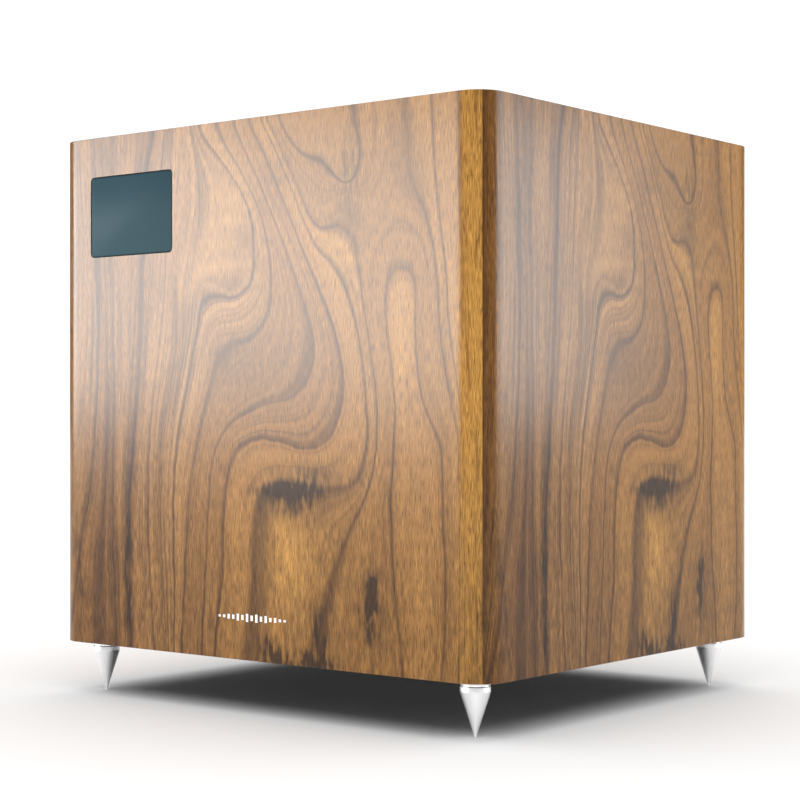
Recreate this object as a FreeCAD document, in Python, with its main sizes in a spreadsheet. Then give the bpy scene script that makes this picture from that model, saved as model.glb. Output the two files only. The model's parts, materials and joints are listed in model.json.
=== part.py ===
import FreeCAD, Part

import math
import os
import re

import Sketcher

# A compact active subwoofer: a veneered cabinet on four spikes, with a downward-firing driver in its
# bottom panel, a plate amplifier sunk into its back and a display window in its front.
# Frame: millimetres, +Z up, the front faces -Y, origin on the floor under the cabinet's centre.

DIMENSIONS = {
    # cabinet
    "width": 320, "depth": 290, "height": 305, "corner": 16, "veneer": 0.6,
    "wall": 18, "rear_wall": 22, "edge_break": 0.3,
    "brace_front": 21, "brace_bottom": 134, "brace_rail": 24,
    "pad_thick": 20, "pad_gap": 3,
    # spikes, studs and inserts
    "foot_height": 30.5, "foot_inset": 20.5, "foot_gap": 0.2, "spike_radius": 8.25,
    "spike_collar": 6, "spike_tip": 0.6, "spike_chamfer": 0.5, "spike_bore": 12,
    "thread_radius": 4, "thread_play": 0.05, "insert_radius": 5.6, "stud_end": 2,
    # display
    "screen_window_wide": 68.6, "screen_window_tall": 48.1, "screen_window_thick": 3,
    "screen_window_round": 3, "screen_window_side": 28.6, "screen_window_rise": 233,
    "screen_play": 0.2, "screen_web": 5, "screen_wide": 55, "screen_tall": 33,
    "screen_board_wide": 68, "screen_board_tall": 46, "board_thick": 1.6, "screen_pocket_extra": 2,
    "small_screw": 1.5, "small_head": 2.7, "small_head_tall": 1.8, "small_screw_long": 4,
    "screw_margin": 0.4,
    # printed mark on the front
    "mark_wide": 51, "mark_tall": 4.6, "mark_bar": 1.7, "mark_rise": 24, "mark_thick": 0.15,
    # driver, whose heights are measured up from the cabinet's underside
    "flange_radius": 105, "flange_thick": 4, "flange_step": 1.5, "step_radius": 94,
    "basket_mouth": 88, "basket_waist": 63, "basket_neck": 57, "basket_skin": 3.5,
    "spider_rise": 50, "motor_seat": 66, "seat_thick": 4, "motor_bore": 28.5,
    "cutout_radius": 92, "flange_play": 0.4, "gasket_thick": 1.5,
    "screw_circle": 99.5, "driver_screw": 2, "driver_head": 4, "driver_head_tall": 2.4,
    "driver_screw_long": 20, "screw_play": 0.1,
    "cone_radius": 77, "cone_rise": 36.7, "cone_skin": 1.2, "roll_skin": 1,
    "roll_radius": 5.75, "lip_wide": 2.7,
    "cap_radius": 33, "cap_deep": 12, "cap_skin": 0.7,
    "coil_inner": 24.85, "former_skin": 0.3, "coil_skin": 1.25, "coil_tall": 24,
    "coil_end": 86, "former_start": 37,
    "pole_radius": 24.2, "pole_proud": 3, "gap_radius": 27, "plate_radius": 60, "plate_thick": 8,
    "magnet_bore": 32, "magnet_radius": 65, "magnet_thick": 20, "vent_radius": 8,
    "spider_skin": 0.7, "spider_wave": 2.4, "terminal_wide": 20, "terminal_tall": 12,
    "terminal_thick": 3,
    # amplifier plate, sunk into the back
    "amp_wide": 200, "amp_tall": 180, "amp_rise": 184.5, "amp_sink": 9, "amp_thick": 2.5,
    "amp_round": 5.5, "amp_play": 0.5, "amp_lip": 12, "amp_screw": 2, "amp_head": 4,
    "amp_head_tall": 2.2, "amp_screw_long": 13, "amp_screw_inset": 6,
    "board_wide": 168, "board_tall": 106, "board_lift": 20, "pillar_long": 11.5,
    "pillar_radius": 3, "pillar_inset": 5, "core_wide": 42, "core_tall": 36, "core_deep": 32,
    "core_side": -50, "core_lift": 22, "can_radius": 11, "can_long": 35, "can_crimp": 0.8,
    "can_pitch": 26, "can_side": -12, "can_low_side": -42, "can_lift": 12,
    "sink_side": 44, "sink_wide": 60, "sink_tall": 70, "sink_deep": 30, "sink_base": 4,
    "fin_thick": 1.6,
    # mains inlet with its fuse drawer
    "inlet_wide": 27.6, "inlet_tall": 33.5, "inlet_deep": 25, "bezel_thick": 1.5, "bezel_rim": 1.7,
    "inlet_side": -58, "inlet_drop": 56.2, "cavity_wide": 24.4, "cavity_tall": 16.4,
    "cavity_deep": 16, "cavity_lift": 6.3, "cavity_round": 3, "blade_wide": 2, "blade_tall": 4,
    "blade_long": 12, "blade_pitch": 7, "blade_stagger": 2, "drawer_wide": 22, "drawer_tall": 7.6,
    "drawer_long": 20, "drawer_lift": -10.4, "drawer_play": 0.15, "drawer_lip": 1,
    "drawer_skin": 1, "drawer_floor": 1.8, "notch_radius": 2.5,
    # mains rocker
    "rocker_side": -16, "rocker_wide": 10.6, "rocker_half": 8.2, "rocker_tilt": 8,
    "rocker_rise": 3, "rocker_foot": 6, "rocker_drop": 1.5, "pivot_radius": 1.2, "pivot_long": 12.6,
    "pivot_play": 0.05, "rocker_case_wide": 13.2, "rocker_case_tall": 20, "rocker_case_deep": 14,
    "rocker_well_wide": 11.2, "rocker_well_tall": 18.4, "rocker_well_deep": 8,
    # signal sockets and controls
    "socket_rise": 50, "socket_first": 30, "socket_pitch": 20, "socket_radius": 4.15,
    "socket_bore": 3.25, "socket_long": 8.5, "socket_flange": 5.5, "socket_flange_thick": 1.2,
    "contact_radius": 1.65, "insulator_inset": 1, "socket_hole": 4.4,
    "jack_side": 70, "jack_rise": 20, "jack_radius": 4, "jack_bore": 1.8, "jack_long": 3.5,
    "jack_deep": 14, "jack_nut": 5.6, "jack_nut_thick": 2, "jack_case": 9,
    "switch_side": 45, "switch_rise": 20, "switch_throw": 4, "slider_wide": 3, "slider_tall": 2.6,
    "slider_proud": 2.4, "switch_play": 0.2, "switch_case_wide": 14, "switch_case_tall": 7,
    "switch_well": 3,
    "button_first": -72, "button_pitch": 16, "button_rise": 50, "button_radius": 3,
    "button_proud": 2.2, "button_tail": 7, "button_flange": 4, "button_flange_thick": 1,
    "button_flange_gap": 0.3, "button_hole": 3.2, "button_chamfer": 0.4,
    # leads inside the cabinet
    "lead_radius": 1.3, "cable_radius": 2,
}

SIDES = {"left": -1, "right": 1}
ENDS = {"front": -1, "rear": 1}
BASKET_SPOKES = 6
DRIVER_SCREWS = 8
SPIDER_WAVES = 6
MARK_BARS = 15
SINK_FINS = 9

UPRIGHT = FreeCAD.Rotation()
TO_REAR = FreeCAD.Rotation(FreeCAD.Vector(1, 0, 0), -90)      # a part's own +Z points at +Y
TO_FRONT = FreeCAD.Rotation(FreeCAD.Vector(1, 0, 0), 90)      # a part's own +Z points at -Y
TO_RIGHT = FreeCAD.Rotation(FreeCAD.Vector(0, 1, 0), 90)      # a part's own +Z points at +X

SAME_PLACE = 1e-6      # lengths that differ by less than this are the same

doc = FreeCAD.newDocument("Subwoofer")
exported = []


# ---------------------------------------------------------------- sheet, formulas and small helpers

def make_sheet():
    """The driving dimensions, one named cell each."""
    sheet = doc.addObject("Spreadsheet::Sheet", "Dims")
    for row, (name, value) in enumerate(DIMENSIONS.items(), start=1):
        sheet.set(f"A{row}", name)
        sheet.set(f"B{row}", str(value))
        sheet.setAlias(f"B{row}", name)
    doc.recompute()
    return sheet


def cells(formula):
    """A formula written in plain dimension names, as an expression on the sheet's cells."""
    def named(match):
        word = match.group(0)
        return f"Dims.{word}" if word in DIMENSIONS else word
    return re.sub(r"[a-z_]+", named, str(formula))


def bind(item, **formulas):
    for name, formula in formulas.items():
        item.setExpression(name, cells(formula))


def place(item, at, turn=UPRIGHT):
    """Puts an object at a point whose three coordinates are formulas."""
    item.Placement = FreeCAD.Placement(FreeCAD.Vector(), turn)
    for axis, formula in zip("xyz", at):
        item.setExpression(f"Placement.Base.{axis}", cells(formula))
    return item


def box(length, width, height, at, centred=True):
    """A block. centred puts the middle of its length and width at the point, with its base on it."""
    x, y, z = at
    if centred:
        x, y = f"({x}) - ({length}) / 2", f"({y}) - ({width}) / 2"
    item = doc.addObject("Part::Box", "Block")
    bind(item, Length=length, Width=width, Height=height)
    return place(item, (x, y, z))


def wall_box(length, deep, height, at):
    """A block whose length and height are centred on a point, and which runs along +Y from it."""
    x, y, z = at
    item = doc.addObject("Part::Box", "Block")
    bind(item, Length=length, Width=deep, Height=height)
    return place(item, (f"({x}) - ({length}) / 2", y, f"({z}) - ({height}) / 2"))


def cylinder(radius, height, at, turn=UPRIGHT):
    item = doc.addObject("Part::Cylinder", "Round")
    bind(item, Radius=radius, Height=height)
    return place(item, at, turn)


def ring(outer, inner, height, at, turn=UPRIGHT):
    """A plain tube. Its bore runs a little past both ends of the cut."""
    return cut(cylinder(outer, height, at, turn), cylinder(inner, height, at, turn))


def cut(base, *tools):
    item = doc.addObject("Part::Cut", "Cut")
    item.Base = base
    item.Tool = tools[0] if len(tools) == 1 else compound(tools)
    return item


def fuse(*shapes):
    item = doc.addObject("Part::MultiFuse", "Joined")
    item.Shapes = list(shapes)
    item.Refine = True
    return item


def common(*shapes):
    item = doc.addObject("Part::MultiCommon", "Shared")
    item.Shapes = list(shapes)
    return item


def compound(shapes):
    item = doc.addObject("Part::Compound", "Group")
    item.Links = list(shapes)
    return item


def sub_part(label, item):
    """Names a finished sub-part and marks it for export."""
    item.Label = label
    exported.append(item)
    return item


# ---------------------------------------------------------------- sketched bodies

def origin_plane(body, role):
    return next(feature for feature in body.Origin.OriginFeatures if feature.Role == role)


def outline(body, role, points):
    """A closed outline of straight edges. Each point is an (across, up) pair of formulas."""
    sketch = body.newObject("Sketcher::SketchObject", "Outline")
    sketch.AttachmentSupport = [(origin_plane(body, role), "")]
    sketch.MapMode = "FlatFace"
    count = len(points)
    turns = [2 * math.pi * index / count for index in range(count)]
    rough = [FreeCAD.Vector(math.cos(turn), math.sin(turn), 0) for turn in turns]
    for index in range(count):
        sketch.addGeometry(Part.LineSegment(rough[index], rough[(index + 1) % count]), False)
    for index in range(count):
        sketch.addConstraint(Sketcher.Constraint("Coincident", index, 2, (index + 1) % count, 1))
    for index, (across, up) in enumerate(points):
        for kind, formula in (("DistanceX", across), ("DistanceY", up)):
            number = sketch.addConstraint(Sketcher.Constraint(kind, -1, 1, index, 1, 1.0))
            name = f"{kind}{index}"
            sketch.renameConstraint(number, name)
            sketch.setExpression(f"Constraints.{name}", cells(formula))
    return sketch


def revolved(points, at, turn=UPRIGHT):
    """A body turned about its own Z axis from (radius, height) points."""
    body = doc.addObject("PartDesign::Body", "Turned")
    sketch = outline(body, "XZ_Plane", points)
    turning = body.newObject("PartDesign::Revolution", "Turning")
    turning.Profile = sketch
    turning.ReferenceAxis = (sketch, ["V_Axis"])
    turning.Angle = 360
    return place(body, at, turn)


def pad(points, thick, at, turn=UPRIGHT):
    """A body padded along its own Z axis from an outline in its XY plane."""
    body = doc.addObject("PartDesign::Body", "Padded")
    sketch = outline(body, "XY_Plane", points)
    padding = body.newObject("PartDesign::Pad", "Padding")
    padding.Profile = sketch
    bind(padding, Length=thick)
    return place(body, at, turn)


def rectangle(wide, tall):
    return [
        (f"-({wide}) / 2", f"-({tall}) / 2"),
        (f"({wide}) / 2", f"-({tall}) / 2"),
        (f"({wide}) / 2", f"({tall}) / 2"),
        (f"-({wide}) / 2", f"({tall}) / 2"),
    ]


def upright_edges(feature, wanted):
    """The names of the edges along the body's own Z axis whose middle passes the test."""
    names = []
    for number, edge in enumerate(feature.Shape.Edges, start=1):
        ends = [vertex.Point for vertex in edge.Vertexes]
        middle = (ends[0] + ends[-1]) * 0.5
        if (ends[0] - ends[-1]).cross(FreeCAD.Vector(0, 0, 1)).Length < SAME_PLACE and wanted(middle):
            names.append(f"Edge{number}")
    return names


def rounded_slab(wide, tall, thick, radius, at, turn=UPRIGHT, wanted=lambda middle: True):
    """A padded rectangle whose upright edges, or those that pass the test, are rounded."""
    body = pad(rectangle(wide, tall), thick, at, turn)
    doc.recompute()
    padding = body.Tip
    fillet = body.newObject("PartDesign::Fillet", "Rounding")
    fillet.Base = (padding, upright_edges(padding, wanted))
    bind(fillet, Radius=radius)
    return body


# ---------------------------------------------------------------- places that several parts share

UNDERSIDE = "foot_height"
WALL_BASE = "foot_height + wall"
WALL_TALL = "height - veneer - 2 * wall"
CORE_WIDE = "width - 2 * veneer"
CORE_DEEP = "depth - 2 * veneer"
CORE_ROUND = "corner - veneer"
FRONT_INSIDE = "-depth / 2 + veneer + wall"
REAR_INSIDE = "depth / 2 - veneer - rear_wall"
SIDE_INSIDE = "width / 2 - veneer - wall"

WINDOW_X = "-width / 2 + screen_window_side + screen_window_wide / 2"
WINDOW_Z = "foot_height + screen_window_rise + screen_window_tall / 2"
WINDOW_FLOOR = "-depth / 2 + screen_play + screen_window_thick"
SCREEN_BOARD_Y = f"{WINDOW_FLOOR} + screen_web"

AMP_Z = "foot_height + amp_rise"
AMP_FACE = "depth / 2 - amp_sink"
AMP_BACK = f"{AMP_FACE} - amp_thick"
AMP_FLOOR = f"{AMP_BACK} - gasket_thick"
BOARD_FACE = f"{AMP_BACK} - pillar_long"
BOARD_INSIDE = f"{BOARD_FACE} - board_thick"
INLET_Z = f"{AMP_Z} - inlet_drop"


def on_amp(side, rise, y=AMP_FACE):
    """A point over the amplifier's plate, from its middle."""
    return (side, y, f"{AMP_Z} + ({rise})")


def amp_screw_places():
    across = "(amp_wide / 2 - amp_screw_inset)"
    up = "(amp_tall / 2 - amp_screw_inset)"
    steps = (-3, -1, 1, 3)
    columns = [(f"{side} * {across}", f"{step} / 3 * {up}") for side in (-1, 1) for step in steps]
    return columns + [("0", f"{end} * {up}") for end in (-1, 1)]


def driver_screw_places():
    places = []
    for index in range(DRIVER_SCREWS):
        turn = 360 * (index + 0.5) / DRIVER_SCREWS
        places.append((f"screw_circle * cos({turn} deg)", f"screw_circle * sin({turn} deg)"))
    return places


def foot_places():
    across, along = "(width / 2 - foot_inset)", "(depth / 2 - foot_inset)"
    return {
        f"{end}_{side}": (f"{SIDES[side]} * {across}", f"{ENDS[end]} * {along}")
        for end in ENDS
        for side in SIDES
    }


def screen_screw_places():
    across = "(screen_board_wide / 2 - small_head - screw_margin)"
    up = "(screen_board_tall / 2 - small_head - screw_margin)"
    corners = [(x, z) for x in (-1, 1) for z in (-1, 1)]
    return [(f"{WINDOW_X} + {x} * {across}", f"{WINDOW_Z} + {z} * {up}") for x, z in corners]


def pillar_places():
    across, up = "(board_wide / 2 - pillar_inset)", "(board_tall / 2 - pillar_inset)"
    return [(f"{x} * {across}", f"board_lift + {z} * {up}") for x in (-1, 1) for z in (-1, 1)]


# ---------------------------------------------------------------- cabinet

def display_pocket(start, thick):
    """The window's rounded pocket, run from a given depth."""
    wide = "screen_window_wide + 2 * screen_play"
    tall = "screen_window_tall + 2 * screen_play"
    return rounded_slab(wide, tall, thick, "screen_window_round", (WINDOW_X, start, WINDOW_Z), TO_REAR)


def amp_recess():
    """The rounded recess in the back that the amplifier's plate lies in."""
    wide, tall = "amp_wide + 2 * amp_play", "amp_tall + 2 * amp_play"
    deep = f"depth / 2 + 1 - ({AMP_FLOOR})"
    return rounded_slab(wide, tall, deep, "amp_round + amp_play", ("0", AMP_FLOOR, AMP_Z), TO_REAR)


def make_walls():
    front = rounded_slab(
        CORE_WIDE, "wall", WALL_TALL, CORE_ROUND,
        ("0", "-depth / 2 + veneer + wall / 2", WALL_BASE), wanted=lambda middle: middle.y < 0)
    inner_pocket = wall_box(
        "screen_board_wide + screen_pocket_extra", "wall",
        "screen_board_tall + screen_pocket_extra", (WINDOW_X, SCREEN_BOARD_Y, WINDOW_Z))
    screen_hole = wall_box(
        "screen_wide + screen_play", "wall", "screen_tall + screen_play",
        (WINDOW_X, "-depth / 2", WINDOW_Z))
    screw_holes = [
        cylinder("small_screw + screw_play", "small_screw_long", (x, SCREEN_BOARD_Y, z), TO_FRONT)
        for x, z in screen_screw_places()
    ]
    pocket = display_pocket("-depth / 2", "screen_play + screen_window_thick")
    sub_part("front_panel", cut(front, pocket, inner_pocket, screen_hole, *screw_holes))

    rear = rounded_slab(
        CORE_WIDE, "rear_wall", WALL_TALL, CORE_ROUND,
        ("0", "depth / 2 - veneer - rear_wall / 2", WALL_BASE), wanted=lambda middle: middle.y > 0)
    opening = wall_box(
        "amp_wide - 2 * amp_lip", "2 * rear_wall", "amp_tall - 2 * amp_lip",
        ("0", REAR_INSIDE + " - 1", AMP_Z))
    amp_holes = [
        cylinder("amp_screw + screw_play", "amp_screw_long", on_amp(x, z), TO_FRONT)
        for x, z in amp_screw_places()
    ]
    sub_part("rear_panel", cut(rear, amp_recess(), opening, *amp_holes))

    for side, sign in SIDES.items():
        middle = f"{sign} * (width / 2 - veneer - wall / 2)"
        run = f"({REAR_INSIDE}) - ({FRONT_INSIDE})"
        between = f"(({REAR_INSIDE}) + ({FRONT_INSIDE})) / 2"
        sub_part(f"{side}_panel", box("wall", run, WALL_TALL, (middle, between, WALL_BASE)))


def make_top_and_bottom():
    top = rounded_slab(
        CORE_WIDE, CORE_DEEP, "wall", CORE_ROUND, ("0", "0", "foot_height + height - veneer - wall"))
    sub_part("top_panel", top)

    bottom = rounded_slab(CORE_WIDE, CORE_DEEP, "wall", CORE_ROUND, ("0", "0", UNDERSIDE))
    rebate = cylinder("flange_radius + flange_play", "flange_thick + gasket_thick", ("0", "0", UNDERSIDE))
    hole = cylinder("cutout_radius", "2 * wall", ("0", "0", UNDERSIDE))
    insert_holes = [cylinder("insert_radius", "wall", (x, y, UNDERSIDE)) for x, y in foot_places().values()]
    screw_holes = [
        cylinder("driver_screw + screw_play", "driver_screw_long", (x, y, UNDERSIDE))
        for x, y in driver_screw_places()
    ]
    sub_part("bottom_panel", cut(bottom, rebate, hole, *insert_holes, *screw_holes))


def make_brace():
    """An upright frame across the cabinet, glued to both sides and the top."""
    wide = f"2 * ({SIDE_INSIDE})"
    tall = "height - veneer - wall - brace_bottom"
    low = "foot_height + brace_bottom"
    frame = box(wide, "wall", tall, ("0", "-brace_front - wall / 2", low))
    window = box(
        f"{wide} - 2 * brace_rail", "2 * wall", f"{tall} - 2 * brace_rail",
        ("0", "-brace_front - wall / 2", f"{low} + brace_rail"))
    sub_part("window_brace", cut(frame, window))


def make_wadding():
    """Polyester pads on both side walls, behind the brace, and one on the front wall."""
    tall = "height - 2 * wall - 4 * pad_gap"
    low = f"{WALL_BASE} + 2 * pad_gap"
    run = f"({REAR_INSIDE}) + brace_front - 2 * pad_gap"
    pads = [
        rounded_slab(
            "pad_thick", run, tall, "pad_thick / 4",
            (f"{sign} * ({SIDE_INSIDE} - pad_gap - pad_thick / 2)",
             f"-brace_front + pad_gap + ({run}) / 2", low))
        for sign in SIDES.values()
    ]
    pads.append(rounded_slab(
        "width - 4 * wall", "pad_thick", "screen_window_rise - 2 * wall - 2 * pad_gap", "pad_thick / 4",
        ("0", f"{FRONT_INSIDE} + pad_gap + pad_thick / 2", low)))
    sub_part("damping_wadding", compound(pads))


def make_veneer():
    """The leaf that wraps the four sides, and the leaf on the top inside it."""
    outer = rounded_slab("width", "depth", "height", "corner", ("0", "0", UNDERSIDE))
    doc.recompute()
    rim = [
        f"Edge{number}"
        for number, edge in enumerate(outer.Tip.Shape.Edges, start=1)
        if min(vertex.Point.z for vertex in edge.Vertexes) > DIMENSIONS["height"] - SAME_PLACE
    ]
    slab = outer.Tip
    chamfer = outer.newObject("PartDesign::Chamfer", "EdgeBreak")
    chamfer.Base = (slab, rim)
    bind(chamfer, Size="edge_break")
    inner = rounded_slab(CORE_WIDE, CORE_DEEP, "height", CORE_ROUND, ("0", "0", UNDERSIDE))
    window = display_pocket("-depth / 2 - 1", "wall / 2")
    sub_part("veneer_wrap", cut(outer, inner, window, amp_recess()))
    leaf = rounded_slab(
        CORE_WIDE, CORE_DEEP, "veneer", CORE_ROUND, ("0", "0", "foot_height + height - veneer"))
    sub_part("veneer_top", leaf)


# ---------------------------------------------------------------- feet

def make_feet():
    """Each foot is a polished spike on a threaded stud that runs in an insert in the bottom panel."""
    top = "foot_height - foot_gap"
    shoulder = f"{top} - spike_collar"
    bore = "thread_radius + thread_play"
    spike_points = [
        ("0", "0"),
        ("spike_tip", "0"),
        ("spike_radius", shoulder),
        ("spike_radius", f"{top} - spike_chamfer"),
        ("spike_radius - spike_chamfer", top),
        (bore, top),
        (bore, f"{top} - spike_bore"),
        ("0", f"{top} - spike_bore"),
    ]
    inserts = []
    for name, (x, y) in foot_places().items():
        sub_part(f"spike_{name}", revolved(spike_points, (x, y, "0")))
        low = f"{top} - spike_bore + foot_gap"
        stud = cylinder("thread_radius", f"{WALL_BASE} - stud_end - ({low})", (x, y, low))
        sub_part(f"stud_{name}", stud)
        inserts.append(ring(
            "insert_radius - screw_play", bore, "wall - foot_gap", (x, y, "foot_height + foot_gap")))
    sub_part("threaded_inserts", compound(inserts))


# ---------------------------------------------------------------- display and printed mark

def make_display():
    window = rounded_slab(
        "screen_window_wide", "screen_window_tall", "screen_window_thick",
        "screen_window_round - screen_play", (WINDOW_X, "-depth / 2 + screen_play", WINDOW_Z), TO_REAR)
    sub_part("display_window", window)
    sub_part("display_screen", wall_box(
        "screen_wide", "screen_web - screen_play", "screen_tall",
        (WINDOW_X, f"{WINDOW_FLOOR} + screen_play", WINDOW_Z)))
    board = wall_box(
        "screen_board_wide", "board_thick", "screen_board_tall", (WINDOW_X, SCREEN_BOARD_Y, WINDOW_Z))
    holes, screws = [], []
    for x, z in screen_screw_places():
        back = f"{SCREEN_BOARD_Y} + board_thick"
        holes.append(cylinder("small_screw + screw_play", "board_thick", (x, SCREEN_BOARD_Y, z), TO_REAR))
        shank = cylinder("small_screw", "small_screw_long", (x, back, z), TO_FRONT)
        head = cylinder("small_head", "small_head_tall", (x, back, z), TO_REAR)
        screws.append(fuse(shank, head))
    sub_part("display_board", cut(board, *holes))
    sub_part("display_screws", compound(screws))


def make_front_mark():
    """A plain row of printed bars, tallest in the middle."""
    middle = (MARK_BARS - 1) / 2
    bars = []
    for index in range(MARK_BARS):
        step = (index - middle) / middle
        tall = f"mark_tall * (0.25 + 0.75 * cos({90 * step} deg) * (1 - 0.45 * {index % 2}))"
        x = f"{step} * (mark_wide - mark_bar) / 2"
        bars.append(wall_box(
            "mark_bar", "mark_thick", tall, (x, "-depth / 2 - mark_thick", "foot_height + mark_rise")))
    sub_part("front_mark", compound(bars))


# ---------------------------------------------------------------- driver

def above(rise):
    """A point on the driver's axis, up from the underside."""
    return ("0", "0", f"{UNDERSIDE} + ({rise})")


def make_basket():
    skin = "basket_skin"
    points = [
        ("step_radius", "0"),
        ("flange_radius", "0"),
        ("flange_radius", "flange_thick"),
        (f"basket_mouth + {skin}", "flange_thick"),
        (f"basket_waist + {skin}", "spider_rise - 1"),
        ("basket_neck + seat_thick", "motor_seat + seat_thick"),
        ("motor_bore", "motor_seat + seat_thick"),
        ("motor_bore", "motor_seat"),
        ("basket_neck", "motor_seat"),
        ("basket_neck", "spider_rise"),
        ("basket_waist", "spider_rise"),
        ("basket_waist", "spider_rise - seat_thick"),
        ("basket_mouth", "flange_thick + 0.5"),
        ("basket_mouth", "flange_step"),
        ("step_radius", "flange_step"),
    ]
    bowl = revolved(points, above("0"))
    windows = []
    for index in range(BASKET_SPOKES):
        turn = FreeCAD.Rotation(FreeCAD.Vector(0, 0, 1), 360 * index / BASKET_SPOKES)
        for low, tall, wide in (
            ("3 * flange_thick", "spider_rise - 5.5 * flange_thick", "flange_radius / 2"),
            ("spider_rise + seat_thick", "motor_seat - spider_rise - 2 * seat_thick", "basket_neck / 2"),
        ):
            window = doc.addObject("Part::Box", "BasketWindow")
            bind(window, Length="flange_radius", Width=wide, Height=tall)
            inner = place(window, ("0", f"-({wide}) / 2", f"{UNDERSIDE} + {low}"))
            turned = compound([inner])
            turned.Placement = FreeCAD.Placement(FreeCAD.Vector(), turn)
            windows.append(turned)
    holes = [
        cylinder("driver_screw + screw_play", "flange_thick", (x, y, UNDERSIDE))
        for x, y in driver_screw_places()
    ]
    sub_part("driver_basket", cut(bowl, *windows, *holes))

    gasket = ring(
        "flange_radius - flange_play", "cutout_radius + flange_play", "gasket_thick",
        above("flange_thick"))
    gasket_holes = [
        cylinder("driver_screw + screw_play", "gasket_thick", (x, y, f"{UNDERSIDE} + flange_thick"))
        for x, y in driver_screw_places()
    ]
    sub_part("driver_gasket", cut(gasket, *gasket_holes))

    screws = []
    for x, y in driver_screw_places():
        shank = cylinder("driver_screw", "driver_screw_long - 1", (x, y, UNDERSIDE))
        head = cylinder("driver_head", "driver_head_tall", (x, y, f"{UNDERSIDE} - driver_head_tall"))
        socket = doc.addObject("Part::Prism", "HexSocket")
        socket.Polygon = 6
        bind(socket, Circumradius="driver_head / 2.2", Height="driver_head_tall / 1.6")
        place(socket, (x, y, f"{UNDERSIDE} - driver_head_tall"))
        screws.append(cut(fuse(shank, head), socket))
    sub_part("driver_screws", compound(screws))


def make_diaphragm():
    neck = "coil_inner + former_skin + thread_play"
    low = "flange_step"
    high = "flange_step + cone_rise"
    sub_part("cone", revolved([
        (neck, high),
        (neck, f"{high} + cone_skin"),
        ("cone_radius", f"{low} + cone_skin"),
        ("cone_radius", low),
    ], above("0")))

    dome = "((cap_radius ^ 2 + cap_deep ^ 2) / (2 * cap_deep))"
    rim = f"(flange_step + cone_rise * (cone_radius - cap_radius) / (cone_radius - coil_inner))"
    centre = above(f"{rim} - cap_deep + {dome}")
    outer, inner = doc.addObject("Part::Sphere", "Dome"), doc.addObject("Part::Sphere", "Dome")
    bind(outer, Radius=dome)
    bind(inner, Radius=f"{dome} - cap_skin")
    shell = cut(place(outer, centre), place(inner, centre))
    keep = cylinder("cap_radius", "cap_deep + 1", above(f"{rim} - cap_deep - 1"))
    sub_part("dust_cap", common(shell, keep))

    middle = "(cone_radius + roll_radius - roll_skin / 2)"
    tori = []
    for radius in ("roll_radius + roll_skin / 2", "roll_radius - roll_skin / 2"):
        torus = doc.addObject("Part::Torus", "Roll")
        bind(torus, Radius1=middle, Radius2=radius)
        tori.append(place(torus, above("flange_step")))
    below = box(
        "3 * cone_radius", "3 * cone_radius", "2 * roll_radius", above("flange_step - 2 * roll_radius"))
    roll = common(cut(*tori), below)
    inner_lip = ring(
        "cone_radius", "cone_radius - lip_wide", "roll_skin", above("flange_step - roll_skin"))
    outer_lip = ring(
        "step_radius - flange_play", f"{middle} + roll_radius", "roll_skin",
        above("flange_step - roll_skin"))
    sub_part("surround", fuse(roll, inner_lip, outer_lip))


def make_spider():
    """A corrugated cloth disc between the former and the basket's ledge."""
    start, end = "(coil_inner + former_skin + thread_play)", "(basket_waist - 0.2)"
    steps = 2 * SPIDER_WAVES
    run = f"({end} - seat_thick - {start})"
    rest = "(spider_rise - spider_skin)"
    lower = []
    for index in range(steps + 1):
        wave = 0 if index in (0, steps) else (-1) ** index
        lower.append((f"{start} + {index} / {steps} * {run}", f"{rest} + {wave} * spider_wave"))
    lower.append((end, rest))
    upper = [(across, f"{up} + spider_skin") for across, up in reversed(lower)]
    sub_part("spider", revolved(lower + upper, above("0")))


def make_motor():
    seat = "motor_seat + seat_thick"
    former = "coil_inner + former_skin"
    tube = ring(former, "coil_inner", "coil_end - former_start", above("former_start"))
    sub_part("coil_former", tube)
    winding = ring(f"{former} + coil_skin", former, "coil_tall", above("coil_end - coil_tall"))
    sub_part("voice_coil", winding)
    sub_part("top_plate", ring("plate_radius", "gap_radius", "plate_thick", above(seat)))
    sub_part("magnet", ring("magnet_radius", "magnet_bore", "magnet_thick", above(f"{seat} + plate_thick")))
    back = f"{seat} + plate_thick + magnet_thick"
    sub_part("yoke", revolved([
        ("vent_radius", f"{seat} - pole_proud"),
        ("pole_radius", f"{seat} - pole_proud"),
        ("pole_radius", back),
        ("plate_radius", back),
        ("plate_radius", f"{back} + plate_thick"),
        ("vent_radius", f"{back} + plate_thick"),
    ], above("0")))
    sub_part("driver_terminals", box(
        "terminal_thick", "terminal_wide", "terminal_tall",
        ("basket_waist + basket_skin + terminal_thick", "0", f"{UNDERSIDE} + spider_rise + 2")))


# ---------------------------------------------------------------- amplifier

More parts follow.
